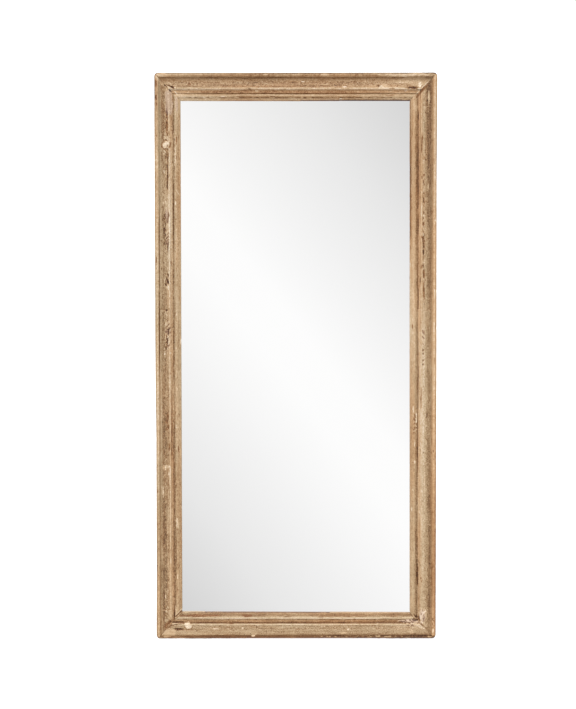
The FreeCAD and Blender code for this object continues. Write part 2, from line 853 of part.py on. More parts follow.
def frame_foot(name, side):
    """A clear silicone wedge that fills the angle between the leaning frame and the floor."""
    def floor(y):
        return (y * sine(dim.lean) - dim.heel_lift) / cosine(dim.lean)

    front, rear = -dim.foot_front, -dim.foot_rear
    corners = [(front, 0), (front, floor(front)), (rear, floor(rear)), (rear, 0)]
    item = prism(name, "YZ_Plane", corners, dim.foot_length, side * dim.foot_across)
    finish(item, name, frame_axes())


def hanger_strap(name, side, screw_places, screw):
    """A strap folded round the ring's bar and screwed flat to the stile."""
    bore = dim.wire_radius + dim.running_clearance
    eye = bore + dim.eye_wall
    width = dim.strap_width
    roll = cylinder(name + "_roll", eye, width, -width / 2)
    roll.Placement = spot(0, eye, 0).multiply(roll.Placement)
    plate = doc.addObject("Part::Box", name + "_plate")
    bind(plate, "Length", width)
    bind(plate, "Width", dim.strap_thickness)
    bind(plate, "Height", dim.strap_length)
    plate.Placement = spot(-width / 2, 0, -dim.strap_length)
    hole = cylinder(name + "_bore", bore, 2 * width, -width)
    hole.Placement = spot(0, eye, 0).multiply(hole.Placement)
    screws = copies(name + "_screws", screw, screw_places)
    holed = cut(name, fused(name + "_folded", [roll, plate]), [hole, screws])
    place = spot(side * dim.hanger_across, 0, dim.hanger_up)
    finish(holed, name, frame_axes(), place)


def hanger_ring(name, side):
    """A D ring of round wire, hanging plumb from its bar."""
    radius, down, wire = dim.ring_radius, dim.ring_side, dim.wire_radius
    bend = doc.addObject("Part::Torus", name + "_bend")
    bind(bend, "Radius1", radius)
    bind(bend, "Radius2", wire)
    bend.Angle3 = HALF_TURN
    bend.Placement = Placement(Vector(0, 0, -down.value), Rotation(Vector(1, 0, 0), -90))
    items = [bend, cylinder(name + "_bar", wire, 2 * radius, -radius)]
    for end in (-1, 1):
        upright = cylinder("%s_side_%d" % (name, end), wire, down, -down, axis="Z")
        upright.Placement = spot(end * radius).multiply(upright.Placement)
        knee = doc.addObject("Part::Sphere", "%s_knee_%d" % (name, end))
        bind(knee, "Radius", wire)
        knee.Placement = spot(end * radius)
        items += [upright, knee]
    eye = dim.wire_radius + dim.running_clearance + dim.eye_wall
    bar = Vector(side * dim.hanger_across.value, eye.value, dim.hanger_up.value)
    finish(fused(name + "_wire", items), name, Placement(frame_axes().multVec(bar), Rotation()))


def hangers():
    screw = wood_screw("hanger_screw", dim.screw_length)
    drops = dim.strap_screw_upper, dim.strap_screw_lower
    screw_places = [spot(0, dim.strap_thickness, -down) for down in drops]
    everywhere = []
    for hand, side in HANDS:
        hanger_strap(hand + "_hanger_strap", side, screw_places, screw)
        hanger_ring(hand + "_hanger_ring", side)
        base = spot(side * dim.hanger_across, 0, dim.hanger_up)
        everywhere += [base.multiply(place) for place in screw_places]
    finish(copies("hanger_screws", screw, everywhere), "hanger_screws", frame_axes())


# ---------------------------------------------------------------- build, check, write

def check_document():
    """Stop on any failed object or unsound sub-part."""
    for item in doc.Objects:
        if "Invalid" in item.State or "Error" in item.State:
            raise RuntimeError("%s failed: %s" % (item.Name, item.State))
    for item in NODES:
        if item.Shape.isNull() or not item.Shape.isValid():
            raise RuntimeError("%s has no sound shape" % item.Label)


def stand_on_origin():
    """Move the whole mirror so that the origin is under the middle of its box."""
    box = FreeCAD.BoundBox()
    for item in NODES:
        box.add(item.Shape.optimalBoundingBox(False))
    shift = Vector(-box.Center.x, -box.Center.y, -box.ZMin)
    for item in NODES:
        item.Placement = Placement(shift, Rotation()).multiply(item.Placement)
    return shift


def report(shift):
    """Print the sizes that others need to know."""
    print("sub-parts", len(NODES), "shift", tuple(round(value, 3) for value in shift))
    pivot = stand_axes().Base + shift
    print("pivot axis at", tuple(round(value, 3) for value in pivot))
    for item in NODES:
        box = item.Shape.BoundBox
        print("%-28s %2d solids %10.1f mm3  x %8.2f %8.2f  y %8.2f %8.2f  z %8.2f %8.2f" % (
            item.Label, len(item.Shape.Solids), item.Shape.Volume, box.XMin, box.XMax,
            box.YMin, box.YMax, box.ZMin, box.ZMax))


def main():
    moulded_frame()
    mitre_splines()
    glass_pack()
    glass_packers()
    backing_clips()
    corner_braces()
    pivot_hardware()
    easel_stand()
    for hand, side in HANDS:
        frame_foot(hand + "_frame_foot", side)
    hangers()
    doc.recompute()
    check_document()
    shift = stand_on_origin()
    doc.recompute()
    check_document()
    report(shift)
    os.makedirs("parts", exist_ok=True)
    for item in NODES:
        item.Shape.exportStep("parts/%s.step" % item.Label)


main()
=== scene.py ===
import json
import math

import bmesh
import bpy
import numpy as np
from mathutils import Matrix, Quaternion, Vector

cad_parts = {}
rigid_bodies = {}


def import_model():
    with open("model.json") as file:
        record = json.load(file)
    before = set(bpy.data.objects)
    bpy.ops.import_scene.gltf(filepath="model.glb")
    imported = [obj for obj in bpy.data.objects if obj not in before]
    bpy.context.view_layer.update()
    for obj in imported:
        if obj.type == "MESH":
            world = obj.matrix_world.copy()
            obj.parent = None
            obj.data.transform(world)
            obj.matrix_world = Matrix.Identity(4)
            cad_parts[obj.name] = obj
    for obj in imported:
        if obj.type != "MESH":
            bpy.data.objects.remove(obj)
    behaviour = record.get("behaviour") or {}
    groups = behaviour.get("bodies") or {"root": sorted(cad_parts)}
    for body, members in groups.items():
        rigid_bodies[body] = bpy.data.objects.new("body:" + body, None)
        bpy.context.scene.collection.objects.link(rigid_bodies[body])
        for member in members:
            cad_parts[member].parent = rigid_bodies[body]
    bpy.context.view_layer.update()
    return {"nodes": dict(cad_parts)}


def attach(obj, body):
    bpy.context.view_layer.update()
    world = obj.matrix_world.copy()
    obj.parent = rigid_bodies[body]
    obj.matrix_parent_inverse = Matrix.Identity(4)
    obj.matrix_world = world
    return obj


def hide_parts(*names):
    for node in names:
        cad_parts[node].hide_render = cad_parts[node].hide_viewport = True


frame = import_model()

MM = 0.001

# ------------------------------------------------------------------ where the frame is


def axes_from_glass():
    """The leaning frame's own axes, read from the glass: across, out of the back, up."""
    glass = frame["nodes"]["mirror_glass"].data
    face = max(glass.polygons, key=lambda polygon: polygon.area)
    out = face.normal if face.normal.y > 0 else -face.normal
    across = Vector((1, 0, 0))
    back = Vector((0, out.y, out.z)).normalized()
    return across, back, across.cross(back)


ACROSS, BACK, UP = axes_from_glass()


def reach(nodes, axis):
    """Lowest and highest value along an axis over these nodes' vertices."""
    values = [axis.dot(v.co) for name in nodes for v in frame["nodes"][name].data.vertices]
    return min(values), max(values)


RAILS = ("frame_top_rail", "frame_bottom_rail", "frame_left_stile", "frame_right_stile")
BOTTOM, TOP = reach(RAILS, UP)
BACK_PLANE = reach(RAILS, BACK)[1]
LEFT, RIGHT = reach(RAILS, ACROSS)
WIDTH, HEIGHT = RIGHT - LEFT, TOP - BOTTOM
FRAME_AXES = Matrix((
    (ACROSS.x, BACK.x, UP.x, 0),
    (ACROSS.y, BACK.y, UP.y, BACK.y * BACK_PLANE + UP.y * BOTTOM),
    (ACROSS.z, BACK.z, UP.z, BACK.z * BACK_PLANE + UP.z * BOTTOM),
    (0, 0, 0, 1),
))
LEAN = math.atan2(UP.y, UP.z)
GLASS_FRONT = 0.020   # from the frame's back plane to the glass's face


# ------------------------------------------------------------------ noise on arrays

def value_noise(a, b, seed):
    """Smooth noise from -1 to 1 with one bump per unit of a and b."""
    table = np.random.default_rng(seed).uniform(-1, 1, (256, 256))
    i, j = np.floor(a).astype(int), np.floor(b).astype(int)
    f, g = a - i, b - j
    f, g = f * f * (3 - 2 * f), g * g * (3 - 2 * g)
    i, j, i2, j2 = i % 256, j % 256, (i + 1) % 256, (j + 1) % 256
    low = table[i, j] * (1 - f) + table[i2, j] * f
    high = table[i, j2] * (1 - f) + table[i2, j2] * f
    return low * (1 - g) + high * g


def rough_noise(a, b, seed, octaves=3):
    """Several sizes of value_noise added up, kept from about -1 to 1."""
    total, size = 0, 1.0
    for octave in range(octaves):
        total = total + value_noise(a / size, b / size, seed + 17 * octave) * size
        size *= 0.5
    return total / 1.6


def smooth(value, low, high):
    """0 below low, 1 above high, smooth between."""
    part = np.clip((value - low) / (high - low), 0, 1)
    return part * part * (3 - 2 * part)


def band(value, centre, half):
    """A soft stripe: 1 at the centre, fading over a half-width."""
    return np.exp(-((value - centre) / half) ** 2)


# ------------------------------------------------------------------ the moulding's section
# Stations run inward from the outer edge, heights stand over the back plane, both in mm,
# as the CAD rails have them. The third number bends the edge that leaves a corner.

CORNERS = (
    (0.0, 0.0, None), (0.0, 40.8, 8.0), (15.0, 40.8, None), (15.6, 38.4, None),
    (16.5, 39.0, -9.725), (25.0, 34.0, -37.0625), (48.0, 42.0, 4.0), (52.0, 38.2, None),
    (52.6, 36.0, None), (62.0, 36.0, None), (63.0, 33.0, None), (64.5, 33.0, 9.0),
    (79.0, 33.0, None), (80.0, 32.0, None), (86.0, 30.0, None), (86.0, 20.0, None),
    (74.0, 20.0, None), (74.0, 0.0, None),
)
BEAD_WIDTH, BEAD_HEIGHT = CORNERS[2][:2]
FACE_WIDTH, SIGHT_HEIGHT, REBATE = 86.0, 30.0, 20.0
FRONT_STEP, HIDDEN_STEP = 1.1, 9.0   # between the section's points

# The four lengths were run by hand, so their quirk, ridge, groove, inner bead and sight
# edge don't lie at quite the same places: where the section's stations are on each.
STATIONS = (0, 15, 48, 63, 70, 86)
FACES = {
    "frame_left_stile": (0, 14.6, 47.2, 61.0, 69.0, 83.4),
    "frame_right_stile": (0, 15.0, 50.4, 63.4, 75.0, 87.4),
    "frame_top_rail": (0, 16.0, 50.4, 66.7, 73.5, 89.3),
    "frame_bottom_rail": (0, 8.5, 46.0, 61.0, 67.0, 83.5),
}
TAPERS = {
    # how wide each face is at the rail's start and at its end, against FACES
    "frame_left_stile": (1.0, 1.0), "frame_right_stile": (1.0, 0.957),
    "frame_top_rail": (0.982, 1.0), "frame_bottom_rail": (1.012, 0.975),
}
NEIGHBOURS = {
    # the rails that each one meets at its start and its end
    "frame_left_stile": ("frame_top_rail", "frame_bottom_rail"),
    "frame_right_stile": ("frame_top_rail", "frame_bottom_rail"),
    "frame_top_rail": ("frame_left_stile", "frame_right_stile"),
    "frame_bottom_rail": ("frame_left_stile", "frame_right_stile"),
}


def bent(start, end, radius, count):
    """Points from start towards end along an arc; a positive radius bulges to the front."""
    chord = np.subtract(end, start)
    length = np.hypot(*chord)
    normal = np.array((-chord[1], chord[0])) / length
    rise = math.sqrt(max(radius ** 2 - length ** 2 / 4, 0)) * math.copysign(1, radius)
    centre = (np.add(start, end)) / 2 - normal * rise
    first, last = [math.atan2(*(np.subtract(p, centre)[::-1])) for p in (start, end)]
    turn = (last - first + math.pi) % (2 * math.pi) - math.pi
    angles = first + turn * np.arange(count) / count
    return centre + abs(radius) * np.stack((np.cos(angles), np.sin(angles)), axis=1)


def moulding_section():
    """The section as closed points (distance inward, height) with outward normals."""
    points = []
    for corner, after in zip(CORNERS, CORNERS[1:] + CORNERS[:1]):
        start, end, radius = corner[:2], after[:2], corner[2]
        hidden = REBATE in (start[1], end[1]) or (start[1] == 0 and start[0] > 0)
        step = HIDDEN_STEP if hidden else FRONT_STEP
        count = max(1, round(math.dist(start, end) / step))
        if radius is None:
            steps = np.arange(count)[:, None] / count
            points.append(np.array(start) * (1 - steps) + np.array(end) * steps)
        else:
            points.append(bent(start, end, radius, count))
    points = np.concatenate(points)
    tangent = np.roll(points, -1, axis=0) - np.roll(points, 1, axis=0)
    normal = np.stack((-tangent[:, 1], tangent[:, 0]), axis=1)
    return points, normal / np.linalg.norm(normal, axis=1)[:, None]


# ------------------------------------------------------------------ wear on the rails, and shade painted onto them
# Every mark is (kind, along, inward, half length, half width, slope) in mm, where the
# slope, if given, is how far it runs inward for each mm along. Along is counted down a
# stile from its top, and rightward along the top and bottom rails from their left. A
# crack runs across its rail, so its half width comes before its half length.

MARKS = {
    "frame_left_stile": (
        ("chalk", 95, 47, 38, 11), ("chalk", 129, 52, 6, 3), ("chalk", 101, 71.5, 21, 3.8),
        ("gouge", 41, 36, 3.5, 2.0, 1.2), ("gouge", 57, 52, 4, 2.6, 1.0),
        ("gold", 66, 70, 14, 9, 0.6), ("chip", 62, 60, 12, 2.2, 1.0),
        ("gold", 74, 76, 14, 9, 0.6), ("filled", 215, 16, 235, 4.5),
        ("chip", 17, 10, 7, 2.0, 0.6), ("gold", 22, 12, 15, 5, 0.9), ("brown", 36, 5, 12, 3.4),
        ("brown", 80, 6, 7, 3.6), ("dark", 50, 0.4, 50, 1.6), ("cream", 282, 5, 3, 5),
        ("stain", 115, 29, 18, 3.0), ("stain", 182, 29, 40, 3.0), ("brown", 131, 41, 16, 3),
        ("chip", 149, 43, 5, 4), ("brown", 172, 41, 22, 3), ("speckle", 205, 38, 14, 7),
        ("plug", 231, 38, 11, 10.5), ("speckle", 265, 34, 26, 5), ("dash", 300, 42, 66, 3.4),
        ("dark", 335, 42, 46, 1.7), ("dark", 270, 42, 18, 1.5), ("brown", 140, 42, 26, 2.2),
        ("cream", 410, 47.5, 30, 2.2), ("dark", 185, 60, 26, 1.0), ("dark", 460, 60, 112, 1.6),
        ("dash", 665, 60, 26, 1.4), ("dark", 725, 60, 4, 1.5), ("dash", 895, 60, 86, 1.5),
        ("cream", 265, 67, 62, 1.8), ("dash", 260, 64, 60, 1.8), ("cream", 384, 74, 9, 1.8, 0.7),
        ("speckle", 425, 29, 9, 5), ("hatch", 455, 39, 20, 7), ("chalk", 455, 39, 16, 4),
        ("hatch", 525, 41, 46, 4.4), ("gouge", 560, 42, 13, 1.8), ("dash", 505, 33, 60, 3),
        ("speckle", 668, 39, 20, 7), ("gouge", 672, 41, 9, 3.0, 0.3), ("gouge", 683, 35, 4, 2.6),
        ("gouge", 654, 42, 4, 2.0), ("crack", 764, 33, 2.2, 17), ("gouge", 766, 37, 3, 3),
        ("hatch", 842, 41, 40, 8), ("dash", 850, 41, 34, 6), ("gouge", 838, 42, 9, 2.0),
        ("gouge", 866, 39, 7, 2.2, -0.3), ("dark", 890, 36, 8, 1.5, 0.4),
        ("dark", 830, 14, 120, 1.4), ("dark", 560, 15, 140, 0.9), ("dark", 1025, 43, 3, 1.6),
        ("dark", 1045, 43, 3, 1.6), ("crack", 1040, 34, 1.2, 14), ("brown", 1108, 40, 8, 4.2),
        ("brown", 1129, 37, 7, 4.2), ("brown", 1146, 41, 6, 3.4), ("brown", 1154, 35, 4, 3),
        ("brown", 1212, 45, 11, 2.4), ("brown", 1155, 53, 90, 1.6), ("gold", 1280, 28, 7, 5),
        ("cream", 1276, 38, 5, 8), ("cream", 1302, 46, 28, 2.8), ("cream", 1357, 24, 16, 1.6),
        ("dark", 1130, 60, 3, 1.6), ("dark", 1165, 60, 4, 1.6), ("dark", 1422, 60, 8, 1.6),
        ("chip", 1460, 68, 15, 2.2), ("dark", 1542, 65, 78, 1.1), ("dark", 1547, 34, 2.5, 1.6),
        ("cream", 1585, 48, 7, 2), ("cream", 1685, 38, 5, 2), ("cream", 1702, 30, 8, 2),
        ("crack", 1745, 34, 1.8, 16), ("brown", 1792, 39, 14, 7, -0.7),
        ("gouge", 1786, 43, 8, 2.6, -0.7), ("gouge", 1757, 59, 20, 2.0),
        ("cream", 1757, 64, 18, 2.0), ("cream", 1751, 76, 12, 3.0, -1.0),
        ("gouge", 1761, 71, 11, 2.6, -1.1),
    ),
    "frame_right_stile": (
        ("cream", 220, 7, 180, 1.5), ("cream", 80, 26, 20, 3.5), ("crack", 104, 33, 1.2, 14),
        ("brown", 58, 48, 20, 4.2, 0.9), ("brown", 50, 44, 12, 3.0, 0.9),
        # painted shade: the first dark stroke on this line is the shade along the glass's edge
        ("dark", 300, 85.5, 220, 1.3), ("brown", 275, 42, 5, 2), ("brown", 328, 42, 5, 2),
        ("brown", 420, 42, 10, 2.4), ("brown", 489, 42, 5, 2), ("brown", 543, 42, 8, 2.4),
        ("brown", 560, 42, 4, 2), ("brown", 580, 43, 4, 2), ("brown", 647, 42, 13, 2.6),
        ("brown", 707, 42, 28, 2.8), ("dash", 500, 43, 140, 2.4), ("brown", 225, 50, 30, 0.8),
        ("brown", 1057, 50, 28, 1.3), ("cream", 440, 50, 20, 2), ("dark", 140, 60, 20, 1.3),
        ("dark", 305, 60, 125, 1.5), ("dark", 490, 60, 30, 2.2), ("dark", 620, 60, 80, 0.9),
        ("gouge", 730, 60, 30, 1.6), ("gouge", 985, 60, 125, 1.5), ("dark", 1215, 60, 85, 1.4),
        ("dash", 1545, 60, 45, 1.4), ("gouge", 1630, 60.5, 31, 2.4),
        ("dark", 1630, 60.5, 31, 2.6), ("gold", 113, 68, 12, 4), ("gold", 400, 75, 245, 6),
        ("crack", 464, 29, 1.4, 10), ("crack", 765, 27, 1.4, 10), ("crack", 1262, 28, 1.2, 11),
        ("hatch", 855, 43, 26, 3.6), ("gouge", 897, 43, 3.2, 1.9), ("gouge", 908, 43, 2.6, 1.7),
        ("gouge", 930, 43, 3.2, 1.9), ("gouge", 943, 43, 2.8, 1.9), ("dark", 1225, 10, 5, 1.4),
        ("chip", 1118, 65, 18, 1.8), ("speckle", 1132, 70, 30, 5.5), ("chip", 1203, 70, 8, 2.2),
        ("chip", 1261, 69, 5, 2.4), ("cream", 1325, 38, 35, 1.5), ("cream", 1445, 46, 55, 1.5),
        ("crack", 1463, 23, 1.2, 8), ("gold", 1425, 57, 3, 2), ("warm", 1610, 5, 220, 5),
        ("chalk", 1768, 44, 20, 9), ("speckle", 1765, 42, 26, 11), ("chip", 1758, 40, 9, 4, 0.6),
        ("dark", 1776, 10, 5, 2.6), ("speckle", 1802, 8, 26, 4), ("gouge", 1775, 60, 6, 4),
        ("gouge", 1768, 66, 7, 2, -0.7), ("speckle", 1785, 52, 16, 8),
        ("dark", 1806, 33, 9, 1.4, -1.0), ("dark", 1834, 7, 4, 9),
    ),
    "frame_top_rail": (
        ("dark", 457, 0.2, 440, 1.6), ("chip", 20, 8, 9, 2.4, 0.4), ("gold", 24, 7, 18, 6),
        ("brown", 360, 1.2, 40, 1.6), ("brown", 690, 1.2, 10, 1.6), ("gold", 22, 7, 9, 4),
        ("stain", 310, 15, 150, 2.5), ("brown", 114, 36, 5, 4), ("gouge", 49, 41.5, 9, 1.8, 0.4),
        ("gouge", 60, 47, 5, 3.6, 0.5), ("chip", 68, 48, 3, 2.2), ("chip", 47, 46, 3.5, 1.8, 0.5),
        ("gold", 80, 76, 14, 10), ("chip", 72, 66, 7, 2.0, 1.0), ("gold", 78, 78, 14, 10),
        ("gold", 830, 26, 48, 12), ("cream", 820, 8, 72, 4.5), ("cream", 360, 49.8, 292, 1.1),
        ("cream", 330, 58, 5, 2), ("cream", 457, 71.5, 370, 1.4), ("dash", 457, 80, 370, 1.3),
        ("cream", 457, 84, 380, 0.9), ("cream", 550, 7, 11, 3), ("crack", 688, 33, 1.6, 16),
        ("gouge", 726, 43, 5, 2.6, 0.5), ("chip", 733, 47, 7, 4.2), ("gold", 745, 43, 10, 8),
        ("chip", 746, 50.5, 7, 2.4), ("cream", 762, 50, 8, 1.3), ("stain", 830, 46, 20, 6),
        ("gouge", 835, 48.5, 15, 3.2), ("chip", 858, 39, 5, 8), ("chalk", 812, 58, 4, 2.2),
        # painted shade: these two dark strokes are the shadow where the rail meets the glass
        ("dark", 680, 88.6, 190, 2.6), ("dark", 740, 89.0, 120, 2.6),
        ("cream", 868, 46, 22, 2.6, -1.0), ("chip", 866, 47, 16, 1.2, -1.0),
    ),
    "frame_bottom_rail": (
        # painted shade: the first dark stroke, along the rail's lower outer edge
        ("dark", 457, 1, 430, 1.4), ("dark", 300, 6, 270, 3.0), ("dash", 700, 7, 170, 2.4),
        ("chip", 317, 9, 6, 2.2), ("gold", 38, 20, 24, 12), ("gouge", 72, 29, 13, 3.6),
        ("brown", 41, 44, 11, 9, 0.6), ("cream", 70, 48, 20, 5.5), ("gouge", 69, 53, 18, 2.0),
        ("gouge", 58, 44, 12, 2.2, 0.2), ("gouge", 76, 48, 9, 1.4),
        ("cream", 38, 38, 9, 1.8, 1.1), ("plug", 103, 42, 10.5, 10.5), ("chip", 282, 33, 3.5, 3),
        # painted shade: the dark stroke under the ridge
        ("cream", 457, 46, 330, 1.2), ("dark", 480, 51, 370, 1.3), ("cream", 240, 65, 90, 1.8),
        ("cream", 640, 65.5, 130, 1.3), ("brown", 145, 74, 55, 3.6), ("brown", 295, 74, 16, 4),
        ("stain", 590, 74, 50, 4), ("stain", 670, 74, 20, 4), ("stain", 775, 74, 15, 4),
        ("gold", 612, 17, 12, 3), ("chip", 628, 29, 4, 2.2), ("gold", 790, 38, 6, 3),
        ("gold", 835, 20, 6, 6), ("hatch", 848, 43.5, 32, 2.6), ("chalk", 835, 55, 34, 5),
        ("speckle", 835, 55, 36, 6), ("gouge", 847, 60, 8, 3.6),
        ("gouge", 852, 68, 11, 2.2, -1.0), ("dark", 883, 31, 8, 1.4, -1.0),
        ("cream", 862, 40, 16, 4, -0.6), ("speckle", 866, 46, 14, 6),
        # painted shade: the dark stroke along the glass's edge
        ("dark", 457, 83.4, 370, 0.9),
    ),
}
MITRE_WEAR = {
    # how open the mitre is at each rail's start and end, 0 to 1
    "frame_left_stile": (0.1, 0.8), "frame_right_stile": (0.1, 0.8),
    "frame_top_rail": (0.1, 0.0), "frame_bottom_rail": (0.8, 0.8),
}

# Across each rail, in mm inward from its outer edge (below 0 is down its side): how pale
# the finish is, from 0, the dirt in a crevice, to 1, bare gesso, and how warm, from 0,
# khaki, to 1, russet.
TONES = {
    "frame_left_stile": (
        (0, 0.36, 0.6), (3, 0.55, 0.6), (5, 0.60, 0.6), (8, 0.71, 0.4), (11, 0.63, 0.5),
        (14.6, 0.55, 0.6), (18, 0.63, 0.1), (21, 0.47, 0.1), (25, 0.34, 0.2), (28, 0.37, 0.2),
        (34, 0.43, 0.2), (40, 0.50, 0.4), (44, 0.545, 0.4), (47.2, 0.79, 0.4),
        (50.5, 0.695, 0.6), (53, 0.57, 0.6), (57, 0.42, 0.4), (60.2, 0.385, 0.4),
        (63, 0.49, 0.2), (66.5, 0.615, 0.2), (70, 0.63, 0.3), (73, 0.58, 0.4), (76, 0.565, 0.4),
        (83.4, 0.56, 0.4),
    ),
    "frame_right_stile": (
        (0, 0.45, 0.3), (3, 0.57, 0.8), (5, 0.65, 0.8), (8, 0.81, 0.7), (11, 0.65, 1.0),
        (14.6, 0.66, 0.9), (18, 0.44, 0.2), (21, 0.33, 0), (27, 0.365, 0), (31, 0.43, 0.1),
        (35, 0.52, 0.1), (41, 0.71, 0.1), (44, 0.735, 0.1), (48, 0.70, 0.4), (51, 0.78, 0.5),
        (54.5, 0.63, 0.8), (58, 0.585, 0.7), (60.5, 0.42, 0.4), (63.5, 0.33, 0.5),
        (67, 0.44, 0.5), (71, 0.52, 0.7), (76, 0.545, 0.8), (80, 0.50, 0.8), (87.4, 0.52, 0.5),
    ),
    "frame_top_rail": (
        (-8, 0.30, 0.5), (-1, 0.0, 0.6), (1.4, 0.04, 0.5), (2.9, 0.29, 0.2), (4.5, 0.62, 0),
        (7, 0.49, 0.5), (10, 0.44, 0.7), (14, 0.47, 0.7), (16, 0.40, 0.7), (18.5, 0.475, 0.7),
        (21.5, 0.52, 0.7), (25, 0.49, 0.6), (28, 0.465, 0.6), (31, 0.475, 0.5), (35, 0.455, 0.5),
        (38, 0.42, 0.5), (41, 0.41, 0.5), (45, 0.45, 0.5), (48, 0.51, 0.4), (50.5, 0.81, 0.4),
        (54, 0.80, 0.6), (57.5, 0.42, 1.0), (60, 0.38, 1.1), (63.5, 0.37, 1.0), (66, 0.46, 0.9),
        (69, 0.28, 0.7), (72, 0.34, 0.5), (75, 0.45, 0.5), (78, 0.49, 0.5), (81, 0.44, 0.8),
        (84, 0.44, 0.8), (89.3, 0.48, 0.8),
    ),
    "frame_bottom_rail": (
        # painted shade: the darkest tones at its lower outer edge
        (-8, 0.30, 0.5), (0, 0.17, 0.2), (4.9, 0.33, 0.5), (8.1, 0.28, 0.5), (11.4, 0.35, 0.2),
        (14.6, 0.48, 0.2), (18, 0.51, 0.1), (21, 0.535, 0.1), (31, 0.53, 0.2), (36, 0.57, 0.2),
        (40, 0.54, 0.2), (44, 0.625, 0.1), (47, 0.61, 0.1), (50.4, 0.33, 0.5), (53, 0.30, 0.9),
        (57, 0.36, 1.1), (60, 0.40, 0.7), (63, 0.68, 0.1), (66, 0.83, 0.1), (69, 0.65, 0.1),
        (72, 0.42, 0.1), (76, 0.32, 0.5), (80, 0.42, 0.6), (83.5, 0.60, 0.5),
    ),
}
# How that changes along each rail: for its outer bead, cove, ridge and inner bead,
# (mm along, how much paler, how much warmer).
ZONES = (8, 31, 52, 72)
DRIFTS = {
    "frame_left_stile": (
        ((100, -0.13, 0.2), (300, 0.05, -0.1), (470, 0.03, -0.2), (600, 0.10, -0.3),
         (900, 0.03, -0.1), (1200, 0.11, -0.3), (1330, -0.04, -0.3), (1560, -0.16, -0.3),
         (1750, -0.16, -0.1)),
        ((100, 0, 0), (300, 0.05, -0.3), (430, 0.1, -0.1), (530, 0, 0), (770, 0.04, -0.2),
         (1000, -0.05, -0.1), (1100, -0.11, 0), (1300, 0, 0.1), (1450, -0.09, -0.1),
         (1750, -0.05, -0.3)),
        ((100, 0.03, 0.2), (300, 0.08, -0.2), (470, 0.26, -0.3), (620, 0.08, -0.1),
         (800, 0.06, -0.1), (1000, 0, 0), (1300, -0.08, 0.3), (1500, -0.03, 0),
         (1750, -0.05, -0.1)),
        ((110, 0.1, -0.1), (230, 0, 0.1), (410, -0.06, 0.3), (650, 0.05, -0.3),
         (900, 0.03, -0.3), (1190, 0, -0.2), (1300, -0.05, -0.1), (1450, -0.12, 0.2),
         (1750, -0.14, 0)),
    ),
    "frame_right_stile": (
        ((110, -0.02, 0), (410, -0.02, -0.3), (530, -0.06, 0), (700, -0.01, 0.2),
         (950, 0.08, -0.1), (1100, -0.02, 0.3), (1300, -0.11, 0.3), (1600, -0.34, 0.3),
         (1750, -0.20, 0.1)),
        ((110, -0.17, 0.1), (350, -0.09, 0.2), (600, 0.01, 0), (950, 0.06, -0.3),
         (1190, 0.06, -0.2), (1330, 0.03, -0.5), (1600, 0.08, -0.2), (1750, 0.05, -0.1)),
        ((140, -0.07, 0.3), (400, -0.02, 0.5), (700, -0.02, 0.2), (1010, 0.13, -0.2),
         (1250, 0.05, -0.3), (1430, -0.03, -0.2), (1550, -0.14, 0.1), (1750, -0.10, 0)),
        ((110, 0.14, -0.2), (250, -0.07, 0.1), (390, -0.17, 0.1), (500, -0.09, 0.1),
         (620, 0.13, -0.1), (800, 0.24, -0.4), (1070, 0, -0.1), (1200, -0.04, -0.1),
         (1400, 0, -0.6), (1750, 0.02, -0.5)),
    ),
    "frame_top_rail": (
        ((110, 0.04, 0), (260, -0.10, 0.1), (350, -0.10, 0), (420, 0.03, -0.2), (530, -0.07, 0),
         (600, -0.04, 0), (650, -0.16, 0), (710, -0.02, 0), (780, -0.08, -0.1)),
        ((110, 0, -0.1), (260, -0.04, 0), (500, -0.02, 0), (780, 0.05, -0.1)),
        ((110, 0.03, -0.1), (200, -0.06, 0.1), (350, -0.07, 0.2), (600, -0.03, 0.2),
         (780, 0.04, 0)),
        ((110, 0.27, -0.4), (180, 0.14, -0.2), (300, -0.06, 0.1), (600, -0.04, 0),
         (780, 0.12, -0.2)),
    ),
    "frame_bottom_rail": (
        ((110, 0.04, -0.4), (240, 0.02, -0.3), (530, -0.04, -0.3), (600, -0.09, -0.3),
         (780, -0.17, -0.2)),
        ((110, -0.08, 0), (190, -0.07, 0), (300, -0.02, -0.1), (530, -0.05, -0.1),
         (780, 0, -0.1)),
        ((110, -0.02, -0.2), (330, 0.05, -0.2), (440, -0.03, -0.2), (600, 0, -0.1),
         (780, -0.04, -0.1)),
        ((110, -0.02, -0.5), (330, -0.06, -0.1), (450, 0.01, -0.4), (650, -0.04, -0.3),
         (780, -0.04, -0.1)),
    ),
}
# How coarse the ground's texture is on each rail, and across it in mm from its outer edge.
TEXTURES = {
    "frame_left_stile": 1.0, "frame_right_stile": 0.8, "frame_top_rail": 1.05,
    "frame_bottom_rail": 1.05,
}
TEXTURE_ACROSS = (
    (0, 0.65), (14, 0.65), (24, 0.9), (30, 1.15), (43, 1.15), (48, 0.7), (57, 0.8), (61, 1.0),
    (66, 0.75), (86, 0.6),
)
# Where a stile's outer edge was planed off a little: (mm along, mm lost).
PLANED = {
    "frame_left_stile": ((900, 0.4), (1000, 0.8), (1180, 2.4), (1650, 2.4), (1800, 0.9)),
    "frame_right_stile": ((150, 0.0), (350, 0.9), (700, 0.5), (950, 0.0)),
}
NOT_PLANED = ((0, 0.0),)


